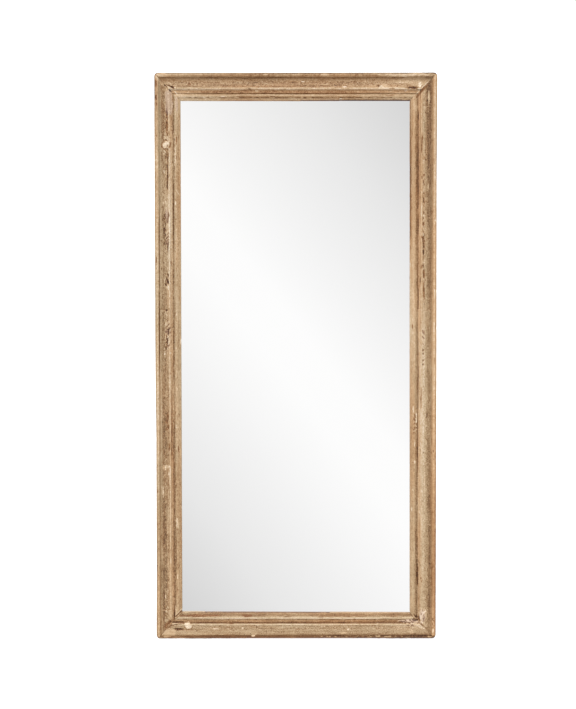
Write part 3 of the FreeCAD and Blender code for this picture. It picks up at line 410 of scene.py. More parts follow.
class WearAndPaintedShade:
    """What age has done over one rail's grid, and the shade painted onto it: loss in mm, and
    changes to its finish.
    """

    FIELDS = ("along", "inward", "depth", "shade", "warmth", "chalk", "coarse")

    def __init__(self, name, along, inward, seed):
        self.along, self.inward, self.seed = along, inward, seed
        self.depth, self.chalk = np.zeros_like(along), np.zeros_like(along)
        self.coarse = np.interp(inward, *zip(*TEXTURE_ACROSS)) * TEXTURES[name]
        wander = 1.0 * self.noise(150, 30, 31) + 0.4 * self.noise(24, 12, 32)
        where, shades, warmths = zip(*TONES[name])
        self.shade = np.interp(inward + wander, where, shades)
        self.warmth = np.interp(inward + wander, where, warmths)

    def near(self, along, spread):
        """The rows near a place: a Wear whose arrays are parts of this one's."""
        rows = np.flatnonzero((np.abs(self.along - along) < spread).any(axis=1))
        part = WearAndPaintedShade.__new__(WearAndPaintedShade)
        part.seed = self.seed
        for field in WearAndPaintedShade.FIELDS:
            setattr(part, field, getattr(self, field)[rows[0]:rows[-1] + 1])
        return part

    def mark(self, kind, along, inward, half_length, half_width, slope=0.0):
        """One mark of a kind, worked out only on the rows that it can touch."""
        part = self.near(along, half_length * 1.7 + 6)
        place = along, inward, half_length, half_width, slope
        if kind in PLAIN_MARKS:
            part.plain_mark(kind, *place)
        else:
            SPECIAL_MARKS[kind](part, *place)

    def noise(self, long, short, seed, octaves=3):
        """Noise with bumps of this length along the grain and across it, in mm."""
        return rough_noise(self.along / long, self.inward / short, self.seed + seed, octaves)

    def blob(self, along, inward, half_length, half_width, slope=0.0, ragged=0.35):
        """A ragged oval: 1 inside, 0 outside."""
        x = (self.along - along) / half_length
        y = (self.inward - inward - slope * (self.along - along)) / half_width
        edge = self.noise(min(half_length * 0.4 + 2, 14), half_width * 0.4 + 1, 5) * ragged
        return smooth(1.25 - np.sqrt(x * x + y * y) + edge, 0, 0.28)

    def tint(self, spot, shade, warmth):
        """Moves the finish towards a shade and warmth by the spot's amount."""
        spot = np.clip(spot, 0, 1)
        self.shade += (shade - self.shade) * spot
        self.warmth += (warmth - self.warmth) * spot

    def whiten(self, spot):
        """Shows the grey-pink of thin gesso where the spot is."""
        np.maximum(self.chalk, spot, out=self.chalk)

    def plain_mark(self, kind, *place):
        """One of the marks that only dig or fill, and change the finish."""
        ragged, depth, strength, shade, warmth = PLAIN_MARKS[kind]
        spot = self.blob(*place, ragged=ragged)
        self.depth += spot * depth
        self.tint(spot * strength, shade, warmth)

    def chip(self, *place):
        """Finish knocked off down to the gesso."""
        spot = self.blob(*place, ragged=0.6)
        self.depth += spot * 0.6
        self.tint(spot, 0.92 + 0.1 * self.noise(6, 4, 6), 0.3)

    def plug(self, *place):
        """A knot hole filled with pale putty that has sunk."""
        along, inward, half_length, half_width, slope = place
        spot = self.blob(*place, ragged=0.3)
        rim = self.blob(along, inward, half_length * 1.25, half_width * 1.25, slope, 0.5)
        self.depth += (rim - spot).clip(0, 1) * 0.9 - spot * 0.7
        self.tint((rim - spot) * 0.8, 0.26, 0.8)
        self.tint(spot, 0.94 + 0.16 * self.noise(6, 5, 6), 0.5)

    def chalk_patch(self, *place):
        """A patch of thin gesso, a little proud."""
        spot = self.blob(*place, ragged=0.45)
        self.depth -= spot * 0.35
        self.tint(spot * 0.7, 0.68, 0.5)
        self.whiten(spot * 0.8)

    def speckle(self, *place):
        """Crumbs of gesso and dirt, close together."""
        spot = self.blob(*place, ragged=0.6)
        crumbs = self.noise(5, 3.4, 9, 2)
        self.tint(spot * smooth(crumbs, 0.08, 0.35) * 0.85, 0.86, 0.3)
        self.tint(spot * smooth(-crumbs, 0.15, 0.4) * 0.85, 0.16, 0.7)
        self.depth += spot * 0.5 * crumbs

    def dash(self, *place):
        """A broken line of short dark strokes where dirt sits in torn ground."""
        spot = self.blob(*place, ragged=0.7)
        strokes = self.noise(9, 3.4, 7)
        torn = smooth(strokes, -0.10, 0.14)
        self.depth += spot * torn * 0.9
        self.tint(spot * torn * 0.9, 0.12, 0.8)
        self.tint(spot * smooth(-strokes, 0.2, 0.45) * 0.6, 0.82, 0.3)

    def hatch(self, *place):
        """Slanting purple-grey strokes across rubbed gesso."""
        spot = self.blob(*place, ragged=0.5)
        slant = self.along + 0.9 * self.inward
        strokes = value_noise(slant / 5.2, self.inward / 14, self.seed + 8)
        torn = smooth(strokes, 0.0, 0.3)
        self.tint(spot * (1 - torn) * 0.75, 0.80, 0.3)
        self.tint(spot * torn * 0.85, 0.20, 0.8)
        self.whiten(spot * torn * 0.5)
        self.depth += spot * (torn - 0.3) * 0.7

    def crack(self, along, inward, half_width, half_length, _):
        """A split of the ground right across the cove."""
        bend = 3.0 * value_noise(self.inward / 9, self.inward * 0, self.seed + 10)
        off = self.along - along - bend
        near = smooth(half_length - np.abs(self.inward - inward), 0, 3)
        line = band(off, 0, half_width) * near
        self.depth += line * 0.6
        self.tint(line * 0.6, 0.16, 0.6)
        self.tint(band(off, 3.5, 2.0) * near * 0.4, 0.82, 0.2)


PLAIN_MARKS = {
    # how ragged, mm of depth, strength, shade, warmth
    "gouge": (0.35, 2.4, 1.0, 0.10, 1.0),
    "dark": (0.5, 0.5, 0.85, 0.14, 0.7),      # a thin stroke of dirt in a scratch or crevice; along the glass and on the bottom rail's edge and ridge it is painted shade
    "filled": (0.2, -1.0, 0.8, 0.60, -0.1),   # a crevice full of old wax and dust
    "cream": (0.6, 0.0, 0.75, 0.88, 0.3),     # rubbed thin, so that the gesso shines through
    "gold": (0.5, 0.0, 0.6, 0.76, 0.55),
    "warm": (0.6, 0.0, 0.6, 0.40, 1.2),
    "brown": (0.7, -0.15, 0.85, 0.19, 1.2),   # a scrap of the old brown finish
    "stain": (0.8, 0.0, 0.6, 0.26, 0.5),
}
SPECIAL_MARKS = {
    "chip": WearAndPaintedShade.chip, "plug": WearAndPaintedShade.plug, "chalk": WearAndPaintedShade.chalk_patch, "speckle": WearAndPaintedShade.speckle,
    "dash": WearAndPaintedShade.dash, "hatch": WearAndPaintedShade.hatch, "crack": WearAndPaintedShade.crack,
}


def all_over_wear(wear, faces):
    """What age does everywhere: stains, rubbed ridges, loss, dents and grain."""
    _, quirk, ridge, groove, bead, _ = faces
    inward = wear.inward
    wear.shade += 0.07 * wear.noise(130, 26, 1) + 0.06 * wear.noise(34, 5, 2)
    fine = 0.05 * wear.noise(10, 3.0, 3, 2) + 0.09 * wear.noise(4.0, 2.2, 4, 2)
    wear.shade += fine * wear.coarse
    wear.warmth += 0.40 * wear.noise(150, 22, 11) + 0.20 * wear.noise(26, 6, 12)
    ripple = band(inward, quirk / 2, 6) + 0.5 * band(inward, ridge, 5) + 0.5 * band(inward, bead, 6)
    wear.shade += 0.10 * ripple * value_noise(wear.along / 3.3, inward / 9, wear.seed + 13)
    lines = 0.6 * band(inward, quirk, 1.3) + band(inward, groove, 1.5)
    dark = lines * smooth(wear.noise(14, 200, 14), -0.20, 0.45)
    wear.tint(dark * 0.35, 0.15, 0.7)
    wear.depth += dark * 0.3
    flakes = smooth(wear.noise(9, 2.6, 15), 0.40, 0.62)
    wear.tint(flakes * wear.coarse * 0.5, 0.86, 0.3)
    pits = smooth(wear.noise(8, 2.8, 16), 0.40, 0.62)
    wear.tint(pits * wear.coarse * 0.65, 0.14, 0.8)
    wear.depth += 0.4 * pits - 0.15 * flakes
    wear.depth += 0.22 * wear.noise(160, 30, 17) + 0.12 * wear.noise(28, 2.2, 18)


def drifted(wear, name):
    """The slow changes along a rail, each zone's blended into the next."""
    for zone, table in enumerate(DRIFTS[name]):
        share = np.interp(wear.inward, ZONES, np.eye(len(ZONES))[zone])
        where, paler, warmer = zip(*table)
        wear.shade += share * np.interp(wear.along, where, paler)
        wear.warmth += share * np.interp(wear.along, where, warmer)


MARK_SPACING = 42   # mm of rail for each random mark


def scattered_marks(wear, faces, length, rng):
    """Small random losses, mostly on the ridges that get knocked."""
    _, quirk, ridge, _, bead, sight = faces
    places = (quirk / 4, quirk / 2, ridge - 4, ridge, ridge + 3, bead, bead + 4, sight - 3, 30)
    for _ in range(int(length / MARK_SPACING)):
        along = rng.uniform(20, length - 20)
        inward = places[rng.integers(len(places))] + rng.normal(0, 1.5)
        kind = ("chip", "dark", "cream", "stain", "brown")[rng.integers(5)]
        wear.mark(kind, along, inward, rng.uniform(2, 11), rng.uniform(1.0, 2.2))


def rubbed_mitre(wear, to_mitre, gap):
    """The mitre's edges: rubbed round, and open in places with dirt inside."""
    to_mitre = to_mitre + 1.6 * wear.noise(9, 9, 23)
    gap = gap * (0.35 + 0.65 * smooth(wear.inward, 22, 48))
    open_here = smooth(wear.noise(12, 7, 21), -0.45 + (1 - gap) * 0.7, 0.35 + (1 - gap) * 0.6)
    near = band(to_mitre, 0, 1.2 + 1.4 * gap * open_here)
    wear.depth += near * (0.25 + 1.4 * gap * open_here)
    wear.tint(near * (0.08 + 0.85 * open_here * gap), 0.08, 0.7)
    beside = band(to_mitre, 4, 3)
    torn = smooth(wear.noise(5, 4, 22), 0.1, 0.5)
    wear.tint(beside * torn * open_here * gap * 0.8, 0.85, 0.3)


# ------------------------------------------------------------------ meshes

def linked(name, data):
    """An object of this data, linked into the scene."""
    item = bpy.data.objects.new(name, data)
    bpy.context.scene.collection.objects.link(item)
    return item


def add_object(name, mesh, smooth_angle):
    """An object of a finished mesh, shaded smooth but for its sharp edges."""
    mesh.polygons.foreach_set("use_smooth", [True] * len(mesh.polygons))
    mesh.set_sharp_from_angle(angle=math.radians(smooth_angle))
    mesh.update()
    return linked(name, mesh)


def mesh_object(name, points, faces, smooth_angle=45):
    """An object from arrays of points in metres and faces."""
    mesh = bpy.data.meshes.new(name)
    mesh.from_pydata(points.tolist(), [], faces)
    return add_object(name, mesh, smooth_angle)


def tube_faces(rows, columns):
    """Quads of a closed tube of rows of points, with a face on each end."""
    ids = np.arange(rows * columns).reshape(rows, columns)
    right = np.roll(ids, -1, axis=1)
    quads = np.stack((ids[:-1], ids[1:], right[1:], right[:-1]), axis=-1).reshape(-1, 4)
    return quads.tolist() + [ids[0].tolist(), ids[-1][::-1].tolist()]


def point_attribute(item, name, values):
    """A number or a vector on every vertex."""
    values = np.asarray(values, np.float32)
    kind = "FLOAT" if values.ndim == 1 else "FLOAT_VECTOR"
    layer = item.data.attributes.new(name, kind, "POINT")
    layer.data.foreach_set("value" if values.ndim == 1 else "vector", values.ravel())


CORNER_ROUND = 11.0                    # how far the outer corners are rounded off
CORNER_TIP, TIP_LOSS = 16.0, 1.6       # where each corner's face is knocked down, and by how much
MITRE_GAP = 0.12                       # from each rail's end to the mitre itself
MOST_PROUD, MOST_WORN = 1.2, 4.5       # limits on the wear's depth
PLANE_FADE = 12.0                      # how softly the planed edge runs out
SIDE_TOP, SIDE_WEAR = 38.0, 0.4        # below this height a rail's outer side is worn less
BACK_EDGE = 2.0                        # the back's edges aren't worn
TOLERANCE = 0.1
STILE_STEP, RAIL_STEP, LONG = 2.3, 1.7, 1500
MITRE_ROWS = (0.3, 0.7, 1.2, 1.8, 2.6, 3.6)
SEED_STEP = 0.37                       # how far apart two pieces' grain is taken, in metres


def round_corner(to_end, inward):
    """Bends the outer corner round: distances from the end's and the rail's outer edges."""
    a, b = CORNER_ROUND - to_end, CORNER_ROUND - inward
    inside = (a > 0) & (b > 0)
    square = np.maximum(a, b) / (np.hypot(a, b) + 1e-9)
    scale = np.where(inside, square, 1)
    return CORNER_ROUND - a * scale, CORNER_ROUND - b * scale


def rail_rows(length):
    """Places along the rail from -1 to 1, closer together at the mitres."""
    count = int(length / (STILE_STEP if length > LONG else RAIL_STEP))
    even = np.linspace(-1, 1, count)
    close = 1 - np.array(MITRE_ROWS) / (length / 2)
    return np.unique(np.concatenate((even, close, -close)))[:, None]


def face_places(name, station, how_far):
    """Where the section's stations lie on a rail's face, from its start, -1, to its end, 1."""
    start, end = TAPERS[name]
    width = (start + end) / 2 + (end - start) / 2 * how_far
    return np.interp(station, STATIONS, FACES[name]) * width


def met_end(name):
    """Which end of its neighbours a rail meets: their start, -1, or their end, 1."""
    return {"frame_bottom_rail": 1, "frame_right_stile": 1}.get(name, -1)


def rail_wear(name, along, inward, length, seed, to_mitre, at_start):
    """Everything that has happened to a rail, and the shade painted onto it, on its grid."""
    wear = WearAndPaintedShade(name, along, inward, seed)
    all_over_wear(wear, FACES[name])
    drifted(wear, name)
    scattered_marks(wear, FACES[name], length, np.random.default_rng(seed))
    for mark in MARKS[name]:
        wear.mark(*mark)
    for start, gap in zip((True, False), MITRE_WEAR[name]):
        rubbed_mitre(wear, to_mitre + 1e3 * (at_start != start), gap)
    return wear


def section_parts(station, height):
    """Which of a rail's points are on its face, on its outer side, and out of sight."""
    at_sight = station > FACE_WIDTH - TOLERANCE
    front = (height > SIGHT_HEIGHT - TOLERANCE) | (at_sight & (height > REBATE - TOLERANCE))
    side = (station < TOLERANCE) & (height < SIDE_TOP)
    hidden = (height < REBATE + TOLERANCE) & ~at_sight & ~side
    return front, side, hidden


def corners_off(length, along, u, w):
    """Rounds the rail's outer corners, and knocks the face down a little there."""
    to_end, u = round_corner(length / 2 - np.abs(along), u)
    tip = smooth(CORNER_TIP - np.hypot(to_end, u), 0, 12)
    w = w - tip * TIP_LOSS * (w > SIGHT_HEIGHT)
    x = np.sign(along) * (length / 2 - to_end)
    return np.stack((x, -w, u), axis=-1).reshape(-1, 3) * MM


def build_rail(name, length, turn, centre, seed, flip):
    """One worn rail: its grid, its wear, its attributes and its place in the frame."""
    section, normals = moulding_section()
    rows = rail_rows(length)
    shape = (len(rows), len(section))
    station = np.broadcast_to(section[:, 0], shape)
    height = np.broadcast_to(section[:, 1], shape)
    front, side, hidden = section_parts(station, height)
    at_start = rows * flip < 0
    inward = np.where(front, face_places(name, station, rows * flip), station)
    met = [face_places(other, station, met_end(name)) for other in NEIGHBOURS[name]]
    ends = length / 2 - np.where(front, np.where(at_start, *met), station)
    along = rows * (ends - MITRE_GAP)
    marked = length / 2 + along * flip
    down_side = np.where(side, height - BEAD_HEIGHT, inward)
    wear = rail_wear(name, marked, down_side, length, seed, ends - np.abs(along), at_start)
    depth = np.where(side, wear.depth * SIDE_WEAR, wear.depth)
    depth = np.clip(np.where(hidden | (height < BACK_EDGE), 0, depth), -MOST_PROUD, MOST_WORN)
    u, w = inward - normals[:, 0] * depth, height - normals[:, 1] * depth
    planed = np.interp(marked, *zip(*PLANED.get(name, NOT_PLANED))) * ~hidden
    u = u + planed * smooth(BEAD_WIDTH - u, 0, PLANE_FADE)
    local = corners_off(length, along, u, w)
    item = mesh_object(name + "_worn", local, tube_faces(*shape), 60)
    around = np.cumsum(np.hypot(*np.diff(section, axis=0, append=section[:1]).T))
    grain = np.stack((marked * MM, np.broadcast_to(around, shape) * MM,
                      np.full(shape, seed * SEED_STEP)), axis=-1).reshape(-1, 3)
    point_attribute(item, "grain", grain)
    point_attribute(item, "shown", np.where(hidden, 0.0, np.where(side, 0.5, 1.0)).ravel())
    for mask in ("shade", "warmth", "chalk", "coarse"):
        point_attribute(item, mask, np.clip(getattr(wear, mask), 0, 1.5).ravel())
    item.data.transform(FRAME_AXES @ Matrix.Translation(centre) @ Matrix.Rotation(turn, 4, "Y"))
    stand_in(item, name, aged_wood_with_painted_shade())


def body_of(node):
    """The name of the body that a CAD node rides on."""
    return frame["nodes"][node].parent.name.split(":")[1]


def stand_in(item, node, material):
    """This piece stands for a CAD node: same body, the node hidden, its own material."""
    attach(item, body_of(node))
    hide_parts(node)
    item.data.materials.clear()
    item.data.materials.append(material)


# ------------------------------------------------------------------ materials

class Graph:
    """A material's nodes, made with short calls."""

    def __init__(self, name):
        self.material = bpy.data.materials.new(name)
        self.material.use_nodes = True
        self.tree = self.material.node_tree
        self.shader = self.tree.nodes["Principled BSDF"]

    def node(self, kind, inputs=(), **settings):
        item = self.tree.nodes.new("ShaderNode" + kind)
        for key, value in settings.items():
            setattr(item, key, value)
        for key, value in dict(inputs).items():
            self.feed(item.inputs[key], value)
        return item

    def feed(self, socket, value):
        if isinstance(value, bpy.types.NodeSocket):
            self.tree.links.new(value, socket)
        else:
            socket.default_value = value

    def attribute(self, name, output="Fac"):
        return self.node("Attribute", attribute_name=name).outputs[output]

    def place(self):
        """The point's place in the object, in metres."""
        return self.node("TexCoord").outputs["Object"]

    def stretched(self, vector, scale):
        mapping = self.node("Mapping", {"Vector": vector, "Scale": scale})
        return mapping.outputs["Vector"]

    def noise(self, vector, scale=1.0, detail=4.0, roughness=0.55):
        return self.node("TexNoise", {"Vector": vector, "Scale": scale, "Detail": detail,
                                      "Roughness": roughness}).outputs["Fac"]

    def spots(self, vector, scale, output="Distance"):
        return self.node("TexVoronoi", {"Vector": vector, "Scale": scale}).outputs[output]

    def ramp(self, value, stops):
        item = self.node("ValToRGB", {"Fac": value})
        ramp = item.color_ramp
        while len(ramp.elements) < len(stops):
            ramp.elements.new(0.5)
        for element, (place, colour) in zip(ramp.elements, stops):
            element.position = place
            element.color = colour if len(colour) == 4 else (*colour, 1)
        return item.outputs["Color"]

    def fade(self, value, low, high, start=0.0, end=1.0):
        return self.node("MapRange", {"Value": value, "From Min": low, "From Max": high,
                                      "To Min": start, "To Max": end}).outputs["Result"]

    def mix(self, amount, first, second, blend="MIX"):
        item = self.node("Mix", data_type="RGBA", blend_type=blend)
        self.feed(item.inputs[0], amount)
        self.feed(item.inputs[6], first)
        self.feed(item.inputs[7], second)
        return item.outputs[2]

    def maths(self, operation, first, second=0.0):
        item = self.node("Math", operation=operation)
        self.feed(item.inputs[0], first)
        self.feed(item.inputs[1], second)
        return item.outputs[0]

    def sum(self, *terms):
        """Adds up (socket, factor) pairs."""
        total = 0.0
        for socket, factor in terms:
            total = self.maths("ADD", self.maths("MULTIPLY", socket, factor), total)
        return total

    def bump(self, height, distance, strength=1.0):
        item = self.node("Bump", {"Height": height, "Distance": distance, "Strength": strength})
        self.feed(self.shader.inputs["Normal"], item.outputs["Normal"])

    def finish(self, **sockets):
        for key, value in sockets.items():
            self.feed(self.shader.inputs[key.replace("_", " ")], value)
        return self.material


LIGHT_LEVEL = 1.38   # how much brighter than white the lights make a white card


def paint(red, green, blue):
    """A colour from 0 to 255 as it looks under the lights, as what nodes need."""
    def linear(value):
        value = value / 255
        value = value / 12.92 if value <= 0.04045 else ((value + 0.055) / 1.055) ** 2.4
        return value / LIGHT_LEVEL
    return (linear(red), linear(green), linear(blue), 1.0)


MADE = {}


def once(make):
    """Makes a material the first time it is asked for."""
    def wrapped(*words):
        key = (make.__name__, *words)
        if key not in MADE:
            MADE[key] = make(*words)
        return MADE[key]
    return wrapped


def shades(*colours):
    """Colours spread evenly from 0 to 1."""
    last = len(colours) - 1
    return tuple((number / last, paint(*colour)) for number, colour in enumerate(colours))


# From the dirt in a crevice to bare gesso: the khaki side, the russet side, and where
# thin gesso greys what is under it.
COOL = shades((42, 25, 14), (91, 59, 34), (129, 95, 61), (154, 124, 89), (174, 147, 112),
              (192, 166, 131), (208, 183, 150), (225, 202, 172), (246, 230, 207))
WARM = shades((46, 23, 11), (99, 59, 31), (139, 94, 55), (165, 121, 80), (185, 144, 102),
              (201, 160, 119), (215, 179, 138), (230, 202, 167), (249, 230, 205))
CHALKY = shades((70, 50, 44), (104, 80, 70), (138, 112, 98), (164, 137, 119), (184, 157, 136),
                (200, 173, 150), (214, 188, 165), (228, 206, 184), (244, 226, 206))


@once
def aged_wood_with_painted_shade():
    """Stripped, waxed softwood with scraps of gesso, brown finish and dirt in its hollows, and
    painted shade along the glass and on the bottom rail.
    """
    graph = Graph("aged_frame_wood")
    grain = graph.attribute("grain", "Vector")
    fibres = graph.noise(graph.stretched(grain, (14, 760, 1)), detail=6, roughness=0.65)
    streaks = graph.noise(graph.stretched(grain, (8, 200, 1)), detail=5, roughness=0.6)
    mottle = graph.noise(graph.stretched(grain, (110, 260, 1)), detail=5, roughness=0.7)
    speck = graph.noise(graph.stretched(grain, (270, 430, 1)), detail=3, roughness=0.8)
    swing = graph.sum((fibres, 0.28), (streaks, 0.50), (mottle, 0.30), (speck, 1.55))
    swing = graph.maths("SUBTRACT", swing, 1.315)   # now about 0 on average
    swing = graph.maths("MULTIPLY", swing, graph.attribute("coarse"))
    shade = graph.maths("ADD", graph.attribute("shade"), swing)
    holes = graph.spots(graph.stretched(grain, (55, 55, 1)), 1.0)
    holes = graph.fade(holes, 0.045, 0.07, 1.0, 0.0)
    shade = graph.maths("SUBTRACT", shade, graph.maths("MULTIPLY", holes, 0.5))
    colour = graph.mix(graph.attribute("warmth"), graph.ramp(shade, COOL), graph.ramp(shade, WARM))
    patchy = graph.fade(mottle, 0.3, 0.5, 0.5, 0.9)
    chalk = graph.maths("MULTIPLY", graph.attribute("chalk"), patchy)
    colour = graph.mix(chalk, colour, graph.ramp(shade, CHALKY))
    back = graph.mix(streaks, paint(112, 84, 56), paint(172, 138, 100))
    back = graph.mix(graph.fade(fibres, 0.3, 0.6, 0.6, 0.0), back, paint(78, 55, 35))
    colour = graph.mix(graph.fade(graph.attribute("shown"), 0.0, 0.45), back, colour)
    relief = graph.sum((fibres, 0.55), (mottle, 0.6), (speck, 0.6), (holes, -1.5))
    graph.bump(relief, 0.0009, 0.85)
    roughness = graph.sum((graph.fade(mottle, 0.3, 0.7, 0.55, 0.75), 1.0), (chalk, 0.15))
    return graph.finish(Base_Color=colour, Roughness=roughness, Specular_IOR_Level=0.30)


@once
def silvered_glass():
    """A clean old mirror: bright silver, a trace of grey, faint haze in places."""
    graph = Graph("silvered_glass")
    haze = graph.noise(graph.place(), 2.2, detail=3)
    tint = graph.mix(haze, (0.962, 0.961, 0.960, 1), (0.978, 0.977, 0.976, 1))
    return graph.finish(Base_Color=tint, Metallic=1.0,
                        Roughness=graph.fade(haze, 0.35, 0.75, 0.0, 0.012))


@once
def planed_wood(name, dark, pale, smudge, own_grain=True):
    """Planed softwood: growth rings along its grain, fine pores, hand dirt and wear."""
    graph = Graph(name)
    grain = graph.attribute("grain", "Vector") if own_grain else graph.place()
    warp = graph.noise(graph.stretched(grain, (1.6, 9, 9)), detail=2)
    rings = graph.node("TexWave", {
        "Vector": graph.stretched(grain, (0.9, 26, 26)), "Scale": 1.0, "Distortion": 5.0,
        "Detail": 3.0, "Detail Scale": 1.2}, wave_type="RINGS", rings_direction="X")
    rings = rings.outputs["Fac"]
    fibres = graph.noise(graph.stretched(grain, (16, 620, 620)), detail=6, roughness=0.65)
    dirt = graph.noise(graph.stretched(grain, (9, 24, 24)), detail=6, roughness=0.7)
    tone = graph.sum((rings, 0.55), (fibres, 0.55), (warp, 0.35))
    colour = graph.mix(graph.fade(tone, 0.30, 1.05), paint(*pale), paint(*dark))
    colour = graph.mix(graph.fade(dirt, 0.52, 0.72, 0.0, 0.55), colour, paint(*smudge))
    edges = graph.attribute("edge")
    colour = graph.mix(graph.maths("MULTIPLY", edges, 0.35), colour, paint(226, 200, 164))
    graph.bump(graph.sum((fibres, 0.6), (rings, -0.25)), 0.0006, 0.8)
    return graph.finish(Base_Color=colour, Roughness=graph.fade(dirt, 0.35, 0.7, 0.58, 0.74),
                        Specular_IOR_Level=0.32)


@once
def kraft_card():
    """Grey-brown pulp card with fibres and faint flutes."""
    graph = Graph("liner_cardboard")
    place = graph.place()
    pulp = graph.noise(place, 340, detail=6, roughness=0.8)
    cloud = graph.noise(place, 7, detail=4)
    flutes = graph.node("TexWave", {"Vector": place, "Scale": 70.0, "Distortion": 0.4},
                        bands_direction="X").outputs["Fac"]
    colour = graph.mix(graph.fade(pulp, 0.3, 0.7), paint(150, 120, 84), paint(196, 164, 124))
    colour = graph.mix(graph.fade(cloud, 0.4, 0.7, 0.0, 0.4), colour, paint(142, 112, 80))
    graph.bump(graph.sum((flutes, 0.5), (pulp, 0.4)), 0.0004, 0.6)
    return graph.finish(Base_Color=colour, Roughness=0.85, Specular_IOR_Level=0.2)


@once
def fibreboard():
    """Brown pressed fibreboard: matted fibres, tide marks, scuffs and dust."""
    graph = Graph("backing_fibreboard")
    place = graph.place()
    fibres = graph.noise(graph.stretched(place, (420, 420, 150)), detail=6, roughness=0.75)
    cloud = graph.noise(place, 3.2, detail=6, roughness=0.6)
    tide = graph.noise(place, 1.6, detail=5, roughness=0.65)
    scuffs = graph.noise(graph.stretched(place, (260, 60, 9)), detail=3)
    colour = graph.mix(graph.fade(fibres, 0.28, 0.72), paint(92, 66, 44), paint(146, 112, 78))
    colour = graph.mix(graph.fade(cloud, 0.35, 0.7, 0.0, 0.6), colour, paint(116, 86, 58))
    colour = graph.mix(graph.fade(tide, 0.50, 0.66, 0.0, 0.5), colour, paint(86, 62, 42))
    colour = graph.mix(graph.fade(scuffs, 0.66, 0.74, 0.0, 0.5), colour, paint(172, 142, 106))
    graph.bump(graph.sum((fibres, 0.7), (scuffs, 0.2)), 0.0005, 0.7)
    roughness = graph.fade(cloud, 0.3, 0.7, 0.66, 0.82)
    return graph.finish(Base_Color=colour, Roughness=roughness, Specular_IOR_Level=0.25)


@once
def worn_metal(name, bright, dull, rust, rusted):
    """Metal with fine brushing, dull patches, and rust or tarnish in spots."""
    graph = Graph(name)
    place = graph.place()
    brushed = graph.noise(graph.stretched(place, (900, 900, 90)), detail=3)
    patches = graph.noise(place, 60, detail=5, roughness=0.65)
    spots = graph.noise(place, 240, detail=6, roughness=0.75)
    colour = graph.mix(graph.fade(patches, 0.35, 0.65), paint(*bright), paint(*dull))
    colour = graph.mix(graph.fade(brushed, 0.3, 0.7, 0.0, 0.3), colour, paint(*dull))
    eaten = graph.sum((patches, 0.4), (spots, 0.6))
    eaten = graph.fade(eaten, 0.62 - rusted, 0.68 - rusted)
    colour = graph.mix(eaten, colour, graph.mix(spots, paint(*rust), paint(104, 62, 38)))
    graph.bump(graph.sum((brushed, 0.25), (spots, 0.5)), 0.0002, 0.6)
    roughness = graph.sum((graph.fade(patches, 0.3, 0.7, 0.28, 0.46), 1.0), (eaten, 0.35))
    return graph.finish(Base_Color=colour, Roughness=roughness,
                        Metallic=graph.fade(eaten, 0.0, 1.0, 1.0, 0.1))


@once
def black_rubber():
    """Black rubber greyed by floor dust, with a moulded grain."""
    graph = Graph("black_rubber")
    place = graph.place()
    grain = graph.noise(place, 700, detail=4, roughness=0.7)
    dust = graph.noise(place, 90, detail=5, roughness=0.7)
    colour = graph.mix(graph.fade(dust, 0.42, 0.72), paint(44, 43, 42), paint(96, 92, 86))
    graph.bump(grain, 0.0003, 0.7)
    return graph.finish(Base_Color=colour, Roughness=graph.fade(dust, 0.3, 0.7, 0.6, 0.85),
                        Specular_IOR_Level=0.4)


@once
def clear_silicone():
    """Milky clear silicone, almost white, a little dusty."""
    graph = Graph("clear_silicone")
    cloud = graph.noise(graph.place(), 60, detail=4)
    colour = graph.mix(graph.fade(cloud, 0.35, 0.7), (0.95, 0.95, 0.95, 1), (0.86, 0.87, 0.86, 1))
    return graph.finish(Base_Color=colour, Roughness=graph.fade(cloud, 0.3, 0.7, 0.3, 0.45))


STEEL = ("aged_steel_plate", (150, 148, 142), (104, 102, 97), (84, 48, 28), 0.06)
PLATED = ("plated_steel", (214, 213, 206), (168, 166, 158), (124, 96, 64), 0.0)
ZINC = ("zinc_fasteners", (206, 208, 206), (158, 160, 158), (128, 104, 78), 0.01)
BRASS = ("brass_screws", (214, 178, 104), (160, 124, 66), (84, 66, 40), 0.04)
STAND_WOOD = ("stand_wood", (150, 112, 74), (206, 172, 130), (104, 78, 52))
SPLINE_WOOD = ("spline_wood", (176, 138, 96), (222, 192, 150), (140, 108, 76), False)


# ------------------------------------------------------------------ hardware and stand

STAND_LEAN = math.radians(8.5)
STAND_UP = Vector((0, -math.sin(STAND_LEAN), math.cos(STAND_LEAN)))
CREASE = math.radians(35)


def rounded_copy(node, edge):
    """The CAD piece's own shape in bmesh, its sharp edges rounded off."""
    shape = bmesh.new()
    shape.from_mesh(frame["nodes"][node].data)
    bmesh.ops.remove_doubles(shape, verts=shape.verts, dist=1e-6)
    bmesh.ops.dissolve_limit(shape, angle_limit=math.radians(1), verts=shape.verts,
                             edges=shape.edges)
    sharp = [e for e in shape.edges if e.is_manifold and e.calc_face_angle(0) > CREASE]
    bmesh.ops.bevel(shape, geom=sharp, offset=edge, offset_type="OFFSET", segments=2,
                    profile=0.6, affect="EDGES", clamp_overlap=True)
    return shape


def shape_object(name, shape, smooth_angle):
    """An object of a finished bmesh, which is freed."""
    mesh = bpy.data.meshes.new(name)
    shape.to_mesh(mesh)
    shape.free()
    return add_object(name, mesh, smooth_angle)


def softened(node, edge, material):
    """A rounded copy of a CAD piece in a finish of its own."""
    item = shape_object(node + "_finished", rounded_copy(node, edge), 32)
    stand_in(item, node, material)


def slice_up(shape, axis, levels):
    """Cuts all of a bmesh's faces where planes across this axis meet them."""
    for level in levels:
        geometry = shape.verts[:] + shape.edges[:] + shape.faces[:]
        bmesh.ops.bisect_plane(shape, geom=geometry, dist=1e-6, plane_co=axis * level,
                               plane_no=axis)


def vertex_numbers(mesh, field):
    """A mesh's vertex places or normals as an array of rows of three."""
    values = np.empty(len(mesh.vertices) * 3)
    mesh.vertices.foreach_get(field, values)
    return values.reshape(-1, 3)


